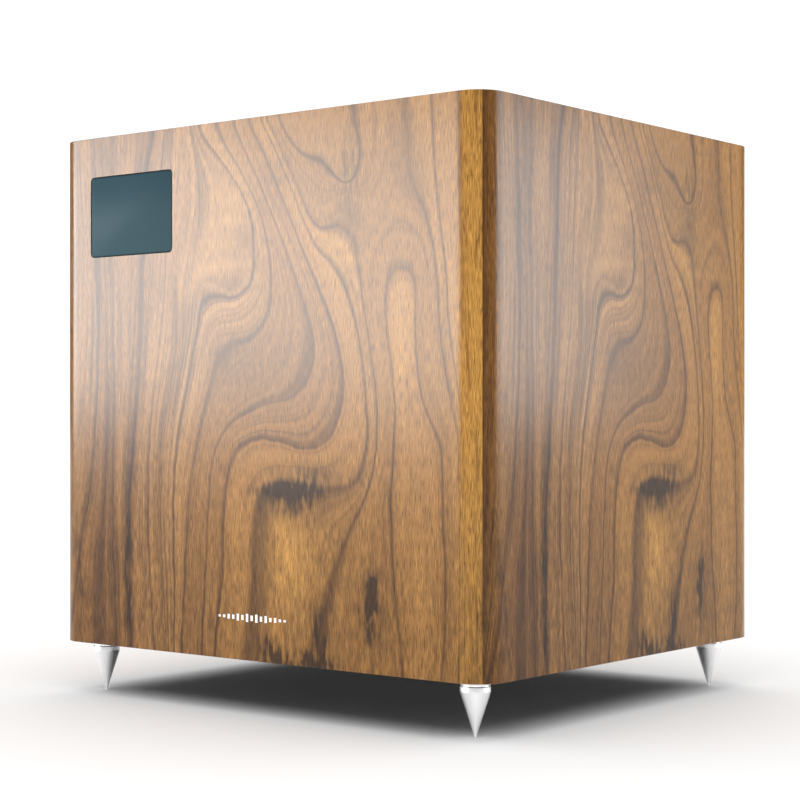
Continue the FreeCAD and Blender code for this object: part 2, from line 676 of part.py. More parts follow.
def make_amp_plate():
    plate = rounded_slab("amp_wide", "amp_tall", "amp_thick", "amp_round", ("0", AMP_BACK, AMP_Z), TO_REAR)
    through = "amp_thick"
    holes = [
        cylinder("amp_screw + screw_play", through, on_amp(x, z), TO_FRONT) for x, z in amp_screw_places()
    ]
    for index in range(3):
        side = f"socket_first + {index} * socket_pitch"
        holes.append(cylinder("socket_hole", through, on_amp(side, "socket_rise"), TO_FRONT))
        side = f"button_first + {index} * button_pitch"
        holes.append(cylinder("button_hole", through, on_amp(side, "button_rise"), TO_FRONT))
    holes.append(cylinder("jack_radius + screw_play", through, on_amp("jack_side", "jack_rise"), TO_FRONT))
    holes.append(wall_box(
        "switch_throw + slider_wide + 2 * switch_play", through, "slider_tall + 2 * switch_play",
        on_amp("switch_side", "switch_rise", AMP_BACK)))
    holes.append(wall_box("inlet_wide", through, "inlet_tall", ("inlet_side", AMP_BACK, INLET_Z)))
    holes.append(wall_box(
        "rocker_case_wide", through, "rocker_case_tall", ("rocker_side", AMP_BACK, INLET_Z)))
    sub_part("amp_plate", cut(plate, *holes))

    rim = rounded_slab(
        "amp_wide - 2 * amp_play", "amp_tall - 2 * amp_play", "gasket_thick", "amp_round",
        ("0", AMP_FLOOR, AMP_Z), TO_REAR)
    middle = wall_box(
        "amp_wide - 2 * amp_lip", "gasket_thick", "amp_tall - 2 * amp_lip", ("0", AMP_FLOOR, AMP_Z))
    rim_holes = [
        cylinder("amp_screw + screw_play", "gasket_thick", on_amp(x, z, AMP_BACK), TO_FRONT)
        for x, z in amp_screw_places()
    ]
    sub_part("amp_gasket", cut(rim, middle, *rim_holes))

    screws = []
    for x, z in amp_screw_places():
        shank = cylinder("amp_screw", "amp_screw_long - 1", on_amp(x, z), TO_FRONT)
        head = cylinder("amp_head", "amp_head_tall", on_amp(x, z), TO_REAR)
        socket = doc.addObject("Part::Prism", "HexSocket")
        socket.Polygon = 6
        bind(socket, Circumradius="amp_head / 2.2", Height="amp_head_tall")
        place(socket, on_amp(x, z, f"{AMP_FACE} + amp_head_tall / 3"), TO_REAR)
        screws.append(cut(fuse(shank, head), socket))
    sub_part("amp_screws", compound(screws))


def make_boards():
    """The circuit board, its pillars and the tall parts that stand on it."""
    board = on_amp("0", "board_lift", BOARD_INSIDE)
    sub_part("amp_board", wall_box("board_wide", "board_thick", "board_tall", board))
    sub_part("board_pillars", compound([
        cylinder("pillar_radius", "pillar_long", on_amp(x, z, BOARD_FACE), TO_REAR)
        for x, z in pillar_places()
    ]))
    sub_part("power_transformer", rounded_slab(
        "core_wide", "core_tall", "core_deep", "core_tall / 8",
        on_amp("core_side", "board_lift + core_lift", BOARD_INSIDE), TO_FRONT))
    cans = []
    for side, rise in (
        ("can_side", "can_lift"),
        ("can_side", "can_lift + can_pitch"),
        ("can_low_side", "-can_pitch"),
        ("can_low_side - can_pitch", "-can_pitch"),
    ):
        foot = on_amp(side, f"board_lift + {rise}", BOARD_INSIDE)
        crimp = on_amp(side, f"board_lift + {rise}", f"{BOARD_INSIDE} - 3 * can_crimp")
        groove = ring("2 * can_radius", "can_radius - can_crimp", "2 * can_crimp", crimp, TO_FRONT)
        cans.append(cut(cylinder("can_radius", "can_long", foot, TO_FRONT), groove))
    sub_part("capacitors", compound(cans))
    base = wall_box(
        "sink_wide", "sink_base", "sink_tall",
        on_amp("sink_side", "board_lift", f"{BOARD_INSIDE} - sink_base"))
    fins = []
    for index in range(SINK_FINS):
        step = index / (SINK_FINS - 1) - 0.5
        side = f"sink_side + {step} * (sink_wide - fin_thick)"
        at = on_amp(side, "board_lift", f"{BOARD_INSIDE} - sink_deep")
        fins.append(wall_box("fin_thick", "sink_deep - sink_base", "sink_tall", at))
    sub_part("heat_sink", fuse(base, *fins))


def make_inlet():
    """The mains inlet's moulding, its three blades and the drawer that holds the fuse."""
    case = wall_box("inlet_wide - screw_play", "inlet_deep", "inlet_tall - screw_play",
                    ("inlet_side", f"{AMP_FACE} - inlet_deep", INLET_Z))
    bezel = rounded_slab(
        "inlet_wide + 2 * bezel_rim", "inlet_tall + 2 * bezel_rim", "bezel_thick", "bezel_rim",
        ("inlet_side", AMP_FACE, INLET_Z), TO_REAR)
    cavity_floor = f"{AMP_FACE} + bezel_thick - cavity_deep"
    cavity_z = f"{INLET_Z} + cavity_lift"
    cavity = rounded_slab("cavity_wide", "cavity_tall", "cavity_deep", "cavity_round",
                          ("inlet_side", cavity_floor, cavity_z), TO_REAR)
    drawer_z = f"{INLET_Z} + drawer_lift"
    slot = wall_box(
        "drawer_wide + 2 * drawer_play", "drawer_long + drawer_play", "drawer_tall + 2 * drawer_play",
        ("inlet_side", f"{AMP_FACE} + bezel_thick - drawer_long - drawer_play", drawer_z))
    sub_part("mains_inlet", cut(fuse(case, bezel), cavity, slot))
    blades = [
        wall_box("blade_wide", "blade_long", "blade_tall",
                 (f"inlet_side + {step} * blade_pitch", cavity_floor,
                  f"{cavity_z} + {1 - 2 * abs(step)} * blade_stagger"))
        for step in (-1, 0, 1)
    ]
    sub_part("inlet_blades", compound(blades))
    tray = wall_box("drawer_wide", "drawer_long", "drawer_tall",
                    ("inlet_side", f"{AMP_FACE} + bezel_thick - drawer_long", drawer_z))
    front = wall_box("drawer_wide", "drawer_lip", "drawer_tall",
                     ("inlet_side", f"{AMP_FACE} + bezel_thick", drawer_z))
    bed_start = f"{AMP_FACE} + bezel_thick - drawer_long + 2 * drawer_skin"
    fuse_bed = wall_box(
        "drawer_wide - 2 * drawer_skin", "drawer_long - 4 * drawer_skin", "drawer_tall",
        ("inlet_side", bed_start, f"{drawer_z} + drawer_floor"))
    outside = f"{AMP_FACE} + bezel_thick + 2 * drawer_lip"
    finger_notch = cylinder(
        "notch_radius", "drawer_tall / 3", ("inlet_side", outside, f"{drawer_z} - drawer_tall / 2"))
    sub_part("fuse_drawer", cut(fuse(tray, front), fuse_bed, finger_notch))


def make_rocker():
    """The mains switch: its case, and the rocker that lies pressed on one side at rest."""
    pivot = ("rocker_side", f"{AMP_FACE} + bezel_thick - rocker_rise", INLET_Z)
    case = wall_box("rocker_case_wide - screw_play", "rocker_case_deep", "rocker_case_tall - screw_play",
                    ("rocker_side", f"{AMP_FACE} - rocker_case_deep", INLET_Z))
    bezel = rounded_slab(
        "rocker_case_wide + 2 * bezel_rim", "rocker_case_tall + 2 * bezel_rim", "bezel_thick", "bezel_rim",
        ("rocker_side", AMP_FACE, INLET_Z), TO_REAR)
    well = wall_box("rocker_well_wide", "rocker_well_deep", "rocker_well_tall",
                    ("rocker_side", f"{AMP_FACE} + bezel_thick - rocker_well_deep", INLET_Z))
    holes = cylinder(
        "pivot_radius + pivot_play", "pivot_long + 2 * switch_play",
        ("rocker_side - pivot_long / 2 - switch_play", pivot[1], pivot[2]), TO_RIGHT)
    sub_part("rocker_case", cut(fuse(case, bezel), well, holes))

    # The key's outline lies across the pivot, which its own Z axis runs along. Its face is turned to the
    # back, and at rest its lower half is pressed in.
    tip = "rocker_rise + rocker_half * tan(rocker_tilt * 1 deg)"
    key = pad([
        ("rocker_drop", "-rocker_foot"),
        ("rocker_drop", "rocker_foot"),
        (f"-({tip})", "rocker_half"),
        ("-rocker_rise", "0"),
        (f"-({tip})", "-rocker_half"),
    ], "rocker_wide", ("0", "0", "-rocker_wide / 2"))
    pin = cylinder("pivot_radius", "pivot_long", ("0", "0", "-pivot_long / 2"))
    facing = FreeCAD.Rotation(
        FreeCAD.Vector(0, -1, 0), FreeCAD.Vector(0, 0, -1), FreeCAD.Vector(1, 0, 0))
    tipping = FreeCAD.Rotation(FreeCAD.Vector(1, 0, 0), -DIMENSIONS["rocker_tilt"])
    sub_part("mains_rocker", place(fuse(key, pin), pivot, tipping.multiply(facing)))


def make_sockets():
    """Three signal sockets: a metal shell round a coloured insulator with the contact's bore."""
    shells, insulators = [], []
    for index in range(3):
        side = f"socket_first + {index} * socket_pitch"
        tube = ring("socket_radius", "socket_bore", "amp_thick + pillar_long + socket_long",
                    on_amp(side, "socket_rise", BOARD_FACE), TO_REAR)
        flange = ring(
            "socket_flange", "socket_bore", "socket_flange_thick", on_amp(side, "socket_rise"), TO_REAR)
        shells.append(fuse(tube, flange))
        insulators.append(ring(
            "socket_bore - thread_play", "contact_radius",
            "amp_thick + pillar_long + socket_long - insulator_inset",
            on_amp(side, "socket_rise", BOARD_FACE), TO_REAR))
    sub_part("socket_shells", compound(shells))
    sub_part("socket_insulators", compound(insulators))


def make_jack():
    """The trigger jack, with its threaded nose, its nut and its blind bore."""
    nose = cylinder(
        "jack_radius", "amp_thick + jack_long", on_amp("jack_side", "jack_rise", AMP_BACK), TO_REAR)
    case = wall_box("jack_case", "pillar_long", "jack_case", on_amp("jack_side", "jack_rise", BOARD_FACE))
    nut = doc.addObject("Part::Prism", "Nut")
    nut.Polygon = 6
    bind(nut, Circumradius="jack_nut", Height="jack_nut_thick")
    place(nut, on_amp("jack_side", "jack_rise"), TO_REAR)
    mouth = on_amp("jack_side", "jack_rise", f"{AMP_FACE} + jack_long")
    bore = cylinder("jack_bore", "jack_deep", mouth, TO_FRONT)
    sub_part("trigger_jack", cut(fuse(nose, case, nut), bore))


def make_slide_switch():
    """The power mode switch. Its slider starts at the end of its throw."""
    run = "switch_throw + slider_wide + 2 * switch_play"
    case = wall_box(
        "switch_case_wide", "pillar_long", "switch_case_tall",
        on_amp("switch_side", "switch_rise", BOARD_FACE))
    well = wall_box(
        run, "switch_well", "slider_tall + 2 * switch_play",
        on_amp("switch_side", "switch_rise", f"{AMP_BACK} - switch_well"))
    sub_part("switch_case", cut(case, well))
    deep = "switch_well + amp_thick + slider_proud - switch_play"
    start = on_amp(
        "switch_side - switch_throw / 2", "switch_rise", f"{AMP_BACK} - switch_well + switch_play")
    sub_part("switch_slider", wall_box("slider_wide", deep, "slider_tall", start))


def make_buttons():
    """Three round push buttons, each held behind the plate by its flange."""
    collar = "button_tail - button_flange_gap"
    top = "button_tail + amp_thick + button_proud"
    points = [
        ("0", "0"),
        ("button_radius", "0"),
        ("button_radius", f"{collar} - button_flange_thick"),
        ("button_flange", f"{collar} - button_flange_thick"),
        ("button_flange", collar),
        ("button_radius", collar),
        ("button_radius", f"{top} - button_chamfer"),
        ("button_radius - button_chamfer", top),
        ("0", top),
    ]
    for index, name in enumerate(("button_down", "button_up", "button_enter")):
        side = f"button_first + {index} * button_pitch"
        sub_part(name, revolved(points, on_amp(side, "button_rise", f"{AMP_BACK} - button_tail"), TO_REAR))


# ---------------------------------------------------------------- leads inside the cabinet

def rounded_path(points, label):
    """Straight runs joined by tangent arcs, each as large as its two runs allow."""
    edges, radii, start = [], [], points[0]
    for before, corner, after in zip(points, points[1:], points[2:]):
        back, onward = before - corner, after - corner
        reach = 0.45 * min(back.Length, onward.Length)
        back.normalize()
        onward.normalize()
        radius = reach / math.tan((math.pi - back.getAngle(onward)) / 2)
        first, last = corner + back * reach, corner + onward * reach
        inward = (back + onward).normalize()
        middle = corner + inward * (math.hypot(radius, reach) - radius)
        edges.append(Part.LineSegment(start, first).toShape())
        edges.append(Part.Arc(first, middle, last).toShape())
        radii.append(round(radius, 1))
        start = last
    edges.append(Part.LineSegment(start, points[-1]).toShape())
    print(f"{label}: arc radii {radii} mm")
    return Part.Wire(edges)


def lead(points, radius, label):
    """A round lead along a path of points."""
    path = rounded_path(points, label)
    circle = Part.Circle(points[0], points[1] - points[0], radius)
    tube = path.makePipeShell([Part.Wire([circle.toShape()])], True, False)
    ideal = math.pi * radius ** 2 * path.Length
    print(f"{label}: {path.Length:.0f} mm long, {tube.Volume / ideal:.3f} of its section times its length")
    item = doc.addObject("Part::Feature", "Lead")
    item.Shape = tube
    return item


def lead_gap(share):
    """How far the second lead lies from the first, from the board, at 0, to the terminals, at 1."""
    share = min(share, 1)
    return FreeCAD.Vector(6 * (1 - share), -10 * share, 0)


def make_leads(sheet):
    """The driver's two leads and the display's cable."""
    board = sheet.depth / 2 - sheet.amp_sink - sheet.amp_thick - sheet.pillar_long - sheet.board_thick
    route = [
        (30, board, 188), (30, 100, 188), (40, 80, 176), (60, 61, 157),
        (82, 42, 136), (95, 24, 116), (95, 10, 99), (86, 5, 88), (71.2, 5, 88),
    ]
    steps = len(route) - 1
    leads = []
    for number in range(2):
        points = [
            FreeCAD.Vector(*spot) + number * lead_gap(max(0, index - 1) / (steps - 2))
            for index, spot in enumerate(route)
        ]
        leads.append(lead(points, sheet.lead_radius, f"speaker lead {number + 1}"))
    sub_part("speaker_leads", compound(leads))
    screen_board = -sheet.depth / 2 + sheet.screen_play + sheet.screen_window_thick + sheet.screen_web
    cable = [
        (-97, screen_board + sheet.board_thick, 284), (-97, -108, 284), (-95, -78, 273), (-89, -38, 264),
        (-84, 4, 262), (-80, 44, 267), (-78, 76, 276), (-78, 98, 282), (-78, board, 282),
    ]
    points = [FreeCAD.Vector(*spot) for spot in cable]
    sub_part("display_cable", lead(points, sheet.cable_radius, "display cable"))


sheet = make_sheet()
make_walls()
make_top_and_bottom()
make_brace()
make_wadding()
make_veneer()
make_feet()
make_display()
make_front_mark()
make_basket()
make_diaphragm()
make_spider()
make_motor()
make_amp_plate()
make_boards()
make_inlet()
make_rocker()
make_sockets()
make_jack()
make_slide_switch()
make_buttons()
make_leads(sheet)
doc.recompute()

for item in doc.Objects:
    if "Invalid" in item.State or "Error" in item.State:
        raise RuntimeError(f"{item.Name} ({item.Label}) is in state {item.State}")
os.makedirs("parts", exist_ok=True)
for item in exported:
    if item.Shape.isNull() or not item.Shape.isValid():
        raise RuntimeError(f"{item.Label} has no valid shape")
    item.Shape.exportStep(f"parts/{item.Label}.step")
print(f"{len(exported)} sub-parts written")
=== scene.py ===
import json
import math

import bmesh
import bpy
import numpy as np
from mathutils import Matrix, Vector, noise


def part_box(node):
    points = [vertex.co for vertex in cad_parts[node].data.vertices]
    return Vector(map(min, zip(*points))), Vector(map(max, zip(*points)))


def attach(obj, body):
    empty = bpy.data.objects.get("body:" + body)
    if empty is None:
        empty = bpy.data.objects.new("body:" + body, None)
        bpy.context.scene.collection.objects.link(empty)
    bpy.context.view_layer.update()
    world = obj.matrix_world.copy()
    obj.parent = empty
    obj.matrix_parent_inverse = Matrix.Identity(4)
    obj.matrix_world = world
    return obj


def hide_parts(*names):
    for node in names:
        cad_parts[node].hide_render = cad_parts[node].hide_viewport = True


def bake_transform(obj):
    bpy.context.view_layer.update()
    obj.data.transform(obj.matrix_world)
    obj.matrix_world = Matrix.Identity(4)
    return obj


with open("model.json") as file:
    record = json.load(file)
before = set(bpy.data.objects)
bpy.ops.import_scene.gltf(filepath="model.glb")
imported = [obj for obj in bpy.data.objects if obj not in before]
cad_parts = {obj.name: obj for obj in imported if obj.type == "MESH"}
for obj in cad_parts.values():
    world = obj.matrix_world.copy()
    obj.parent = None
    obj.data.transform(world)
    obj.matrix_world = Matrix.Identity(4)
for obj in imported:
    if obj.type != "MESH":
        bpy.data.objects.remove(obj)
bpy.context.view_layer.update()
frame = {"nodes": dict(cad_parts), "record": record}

# Everything is in metres, in the frame's own axes: +Z up, and the front faces -Y.


def box(node):
    """The low and the high corner of a CAD node."""
    return tuple(Vector(corner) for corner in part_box(node))


# ---------------------------------------------------------------- camera

CAMERA_AT = (0.7251, -0.9392, 0.1691)
CAMERA_TURN = math.radians(39.16)      # how far round from the front, to the right, it looks from
LENS = 86.1
CAMERA_SHIFT = (0.05, 0.0176)

# ---------------------------------------------------------------- cabinet

CORNER = 0.016             # radius of the upright corners
VENEER = 0.0006            # thickness of the leaf
EASED = 0.0003             # how far the leaf's cut edges are broken
LEAF_STEP = 0.0026         # spacing of the leaf's mesh
LEAF_GAP = 0.00003         # between the top's leaf and the rim around it
CORNER_STEPS = 8
LENS_ROUND = 0.0028        # corner radius of the display's window
PLATE_ROUND = 0.006        # corner radius of the rear recess
PLATE_MARGIN = 0.0005      # the recess is this much larger than the amplifier's plate, each way
WINDOW_MARGIN = 0.0002     # and the front's opening this much larger than the window

# The growth rings of the walnut leaf: a ring's age, then the line that it draws on the face.
# Lines are in shares of the face, across from its left edge and down from its top edge.
RINGS = (
    (0.00, ((0.000, 0.00), (0.000, 0.50), (0.000, 1.00))),
    (0.10, ((0.100, 0.00), (0.112, 0.20), (0.115, 0.40), (0.105, 0.55), (0.092, 0.68), (0.065, 0.79),
            (0.040, 0.92), (0.015, 1.00))),
    (0.16, ((0.150, 0.00), (0.145, 0.20), (0.150, 0.40), (0.155, 0.60), (0.155, 0.80), (0.165, 1.00))),
    (0.23, ((0.262, 0.00), (0.235, 0.08), (0.228, 0.30), (0.222, 0.45), (0.205, 0.60), (0.190, 0.72),
            (0.190, 0.86), (0.195, 1.00))),
    (0.28, ((0.305, 0.00), (0.295, 0.13), (0.285, 0.30), (0.268, 0.43), (0.250, 0.56), (0.242, 0.70),
            (0.248, 0.86), (0.262, 1.00))),
    (0.32, ((0.335, 0.00), (0.342, 0.08), (0.325, 0.17), (0.308, 0.26), (0.310, 0.40), (0.295, 0.50),
            (0.275, 0.62), (0.270, 0.80), (0.285, 1.00))),
    (0.36, ((0.362, 0.00), (0.385, 0.035), (0.425, 0.075), (0.462, 0.115), (0.490, 0.16), (0.502, 0.21),
            (0.502, 0.26), (0.495, 0.297), (0.470, 0.316), (0.440, 0.317), (0.405, 0.305),
            (0.378, 0.308), (0.366, 0.335), (0.360, 0.39), (0.345, 0.45), (0.325, 0.53), (0.308, 0.62),
            (0.302, 0.72), (0.308, 0.86), (0.312, 1.00))),
    (0.42, ((0.395, 0.00), (0.432, 0.05), (0.470, 0.10), (0.502, 0.15), (0.525, 0.20), (0.538, 0.26),
            (0.540, 0.31), (0.532, 0.355), (0.508, 0.385), (0.475, 0.397), (0.445, 0.391),
            (0.420, 0.396), (0.403, 0.425), (0.392, 0.48), (0.372, 0.55), (0.350, 0.64), (0.336, 0.73),
            (0.332, 0.84), (0.325, 0.93), (0.318, 1.00))),
    (0.50, ((0.450, 0.00), (0.500, 0.09), (0.548, 0.18), (0.590, 0.27), (0.625, 0.34), (0.645, 0.40),
            (0.645, 0.45), (0.620, 0.495), (0.578, 0.522), (0.540, 0.527), (0.500, 0.543),
            (0.455, 0.56), (0.425, 0.59), (0.405, 0.63), (0.397, 0.70), (0.392, 0.82), (0.380, 1.00))),
    (0.57, ((0.490, 0.00), (0.535, 0.075), (0.577, 0.16), (0.617, 0.24), (0.655, 0.32), (0.690, 0.40),
            (0.710, 0.47), (0.708, 0.53), (0.690, 0.575), (0.655, 0.602), (0.615, 0.608),
            (0.575, 0.595), (0.530, 0.588), (0.490, 0.594), (0.460, 0.612), (0.442, 0.65),
            (0.432, 0.73), (0.430, 0.83), (0.418, 0.93), (0.410, 1.00))),
    (0.64, ((0.515, 0.00), (0.555, 0.065), (0.592, 0.14), (0.622, 0.205), (0.646, 0.25), (0.676, 0.275),
            (0.705, 0.315), (0.728, 0.37), (0.744, 0.43), (0.756, 0.50), (0.762, 0.58), (0.756, 0.64),
            (0.735, 0.668), (0.690, 0.677), (0.640, 0.668), (0.590, 0.664), (0.545, 0.675),
            (0.513, 0.70), (0.500, 0.75), (0.497, 0.84), (0.487, 0.92), (0.470, 1.00))),
    (0.68, ((0.535, 0.00), (0.570, 0.065), (0.605, 0.13), (0.632, 0.18), (0.655, 0.205), (0.675, 0.198),
            (0.693, 0.172), (0.712, 0.155), (0.730, 0.165), (0.742, 0.20), (0.757, 0.24),
            (0.775, 0.238), (0.792, 0.21), (0.808, 0.175), (0.820, 0.12), (0.819, 0.06), (0.812, 0.00))),
    (0.74, ((0.560, 0.00), (0.585, 0.04), (0.615, 0.066), (0.640, 0.072), (0.660, 0.052), (0.678, 0.00))),
    (0.78, ((0.712, 0.08), (0.716, 0.13))),
    (0.72, ((0.830, 1.00), (0.822, 0.93), (0.810, 0.85), (0.803, 0.75), (0.802, 0.66), (0.812, 0.57),
            (0.812, 0.50), (0.800, 0.43), (0.788, 0.35), (0.790, 0.285), (0.805, 0.258),
            (0.835, 0.255), (0.860, 0.266), (0.867, 0.30), (0.863, 0.37), (0.864, 0.44), (0.878, 0.52),
            (0.905, 0.565), (0.925, 0.61), (0.927, 0.75), (0.930, 0.90), (0.920, 1.00))),
    (0.80, ((0.840, 0.34), (0.845, 0.50), (0.865, 0.62), (0.868, 0.80), (0.875, 1.00))),
    (0.66, ((0.878, 0.00), (0.884, 0.10), (0.898, 0.20), (0.915, 0.30), (0.925, 0.42), (0.945, 0.52),
            (0.958, 0.65), (0.955, 1.00))),
    (0.56, ((0.955, 0.00), (0.960, 0.30), (0.975, 0.60), (0.985, 1.00))),
    (0.48, ((1.000, 0.00), (1.000, 0.50), (1.000, 1.00))),
)

# Smoky and pale patches, with painted shade at the leaf's foot and left edge and painted light at its right
# edge:
# across, down, half width, half height, lean, then how dark it is, which is below zero where the leaf is
# pale.
PATCHES = (
    (0.720, 0.110, 0.030, 0.065, 0.00, 0.55),      # heart of the drop at the top
    (0.730, 0.210, 0.016, 0.040, 0.00, 0.30),
    (0.590, 0.683, 0.062, 0.012, -0.05, 1.90),     # lid over the knot
    (0.590, 0.705, 0.062, 0.026, 0.00, 0.75),
    (0.640, 0.655, 0.060, 0.016, 0.05, 0.60),
    (0.768, 0.862, 0.012, 0.040, 0.06, 1.30),      # the dark eye to the right of the knot
    (0.768, 0.905, 0.014, 0.045, 0.00, 0.70),
    (0.655, 0.940, 0.014, 0.034, 0.00, 0.90),      # the two dark shapes at the foot
    (0.620, 0.992, 0.060, 0.016, -0.20, 1.20),
    (0.540, 0.980, 0.020, 0.026, 0.00, 0.80),
    (0.470, 0.455, 0.070, 0.050, -0.30, 0.32),     # shade below the second hook
    (0.600, 0.440, 0.060, 0.050, 0.00, 0.15),
    (0.560, 0.110, 0.040, 0.080, 0.45, 0.25),      # the dark fan at the top
    (0.650, 0.100, 0.030, 0.060, 0.00, 0.20),
    (0.130, 0.120, 0.030, 0.140, 0.00, 0.45),
    (0.190, 0.800, 0.008, 0.160, 0.00, 1.00),      # the heavy stripe low on the left
    (0.205, 0.600, 0.006, 0.100, -0.06, 0.60),
    (0.055, 0.840, 0.010, 0.120, -0.20, 0.40),
    (0.590, 0.810, 0.045, 0.090, 0.00, -1.00),     # the pale beard under the knot
    (0.560, 0.740, 0.018, 0.035, 0.00, -0.60),
    (0.420, 0.170, 0.060, 0.090, 0.30, -0.35),     # the pale lobe inside the first hook
    (0.830, 0.420, 0.018, 0.120, 0.00, -0.45),     # the pale finger
    (0.700, 0.250, 0.040, 0.040, 0.20, -0.35),
    (0.465, 0.760, 0.016, 0.120, 0.00, -0.30),
    (0.985, 0.450, 0.030, 0.800, 0.00, -1.50),     # the bright edge at the right: partly paler wood, partly painted light on the rounded corner
    (0.500, 1.020, 1.500, 0.330, 0.00, 0.38),      # darker towards the leaf's foot: partly darker wood, partly painted shade
    (0.000, 0.500, 0.012, 0.900, 0.00, 0.80),      # the dark edge at the left: partly darker wood, partly painted shade of the rounded corner
)

FIELD_CELLS = 192          # cells of the ring field along each side of the face
FIELD_START = 24           # cells of the coarse field that it is refined from
FIELD_ROUNDS = 160         # rounds of settling at each fineness
FIELD_AGE = 0.4            # the age that the field settles from
FIELD_SOFTENING = 4        # rounds that soften the settled field
ALONG_GRAIN = 2            # rings run on this much more easily along the grain than across it


def smooth_line(points, per_span):
    """Points along a smooth line through the given ones (a Catmull-Rom spline)."""
    given = np.array(points, float)
    ends = np.vstack([2 * given[0] - given[1], given, 2 * given[-1] - given[-2]])
    share = np.linspace(0, 1, per_span, endpoint=False)[:, None]
    before, start, end, after = (ends[i:len(ends) - 3 + i, None] for i in range(4))
    line = start + 0.5 * share * (end - before + share * (
        2 * before - 5 * start + 4 * end - after + share * (3 * (start - end) + after - before)))
    return np.vstack([line.reshape(-1, 2), given[-1]])


def neighbours(field):
    """The cells above and below each cell, added, and the ones to its left and right, added."""
    wide = np.pad(field, 1, mode="edge")
    return wide[:-2, 1:-1] + wide[2:, 1:-1], wide[1:-1, :-2] + wide[1:-1, 2:]


def ring_field():
    """The age of the wood over one face: the drawn rings, with the rest settled between them."""
    cells = FIELD_START
    field = np.full((cells, cells), FIELD_AGE)
    while True:
        fixed = np.full(field.shape, np.nan)
        for age, points in RINGS:
            line = smooth_line(points, FIELD_CELLS // 2)
            across, down = np.clip((line * cells).astype(int), 0, cells - 1).T
            fixed[down, across] = age
        for _ in range(FIELD_ROUNDS):
            upright, level = neighbours(field)
            settled = (ALONG_GRAIN * upright + level) / (2 * ALONG_GRAIN + 2)
            field = np.where(np.isnan(fixed), settled, fixed)
        if cells == FIELD_CELLS:
            break
        cells *= 2
        field = np.kron(field, np.ones((2, 2)))
    for _ in range(FIELD_SOFTENING):
        upright, level = neighbours(field)
        field = (upright + level + 2 * field) / 6
    return field


def patch_field(dark):
    """How dark (smoky wood and painted shade) or how pale (pale wood and painted light) the leaf is over one
    face.
    """
    centres = (np.arange(FIELD_CELLS) + 0.5) / FIELD_CELLS
    across, down = np.meshgrid(centres, centres)
    field = np.zeros(across.shape)
    for at, low, half_wide, half_tall, lean, strength in PATCHES:
        if (strength > 0) != dark:
            continue
        fall = (down - low) / half_tall
        side = (across - at - lean * (low - down)) / half_wide
        field += abs(strength) * np.exp(-fall ** 2 - side ** 2)
    return field


def look_up(field, across, down):
    """A field's value at shares of the face, between its cells."""
    last = FIELD_CELLS - 1
    x = np.clip(across * FIELD_CELLS - 0.5, 0, last - 1e-6)
    y = np.clip(down * FIELD_CELLS - 0.5, 0, last - 1e-6)
    left, top = x.astype(int), y.astype(int)
    right_share, low_share = x - left, y - top
    upper = field[top, left] * (1 - right_share) + field[top, left + 1] * right_share
    lower = field[top + 1, left] * (1 - right_share) + field[top + 1, left + 1] * right_share
    return upper * (1 - low_share) + lower * low_share


# ---------------------------------------------------------------- materials

WAVE_TURN = math.tau / 20  # a wave texture of scale 1 repeats after this length
THREAD_PITCH = 0.00125     # of the feet's studs


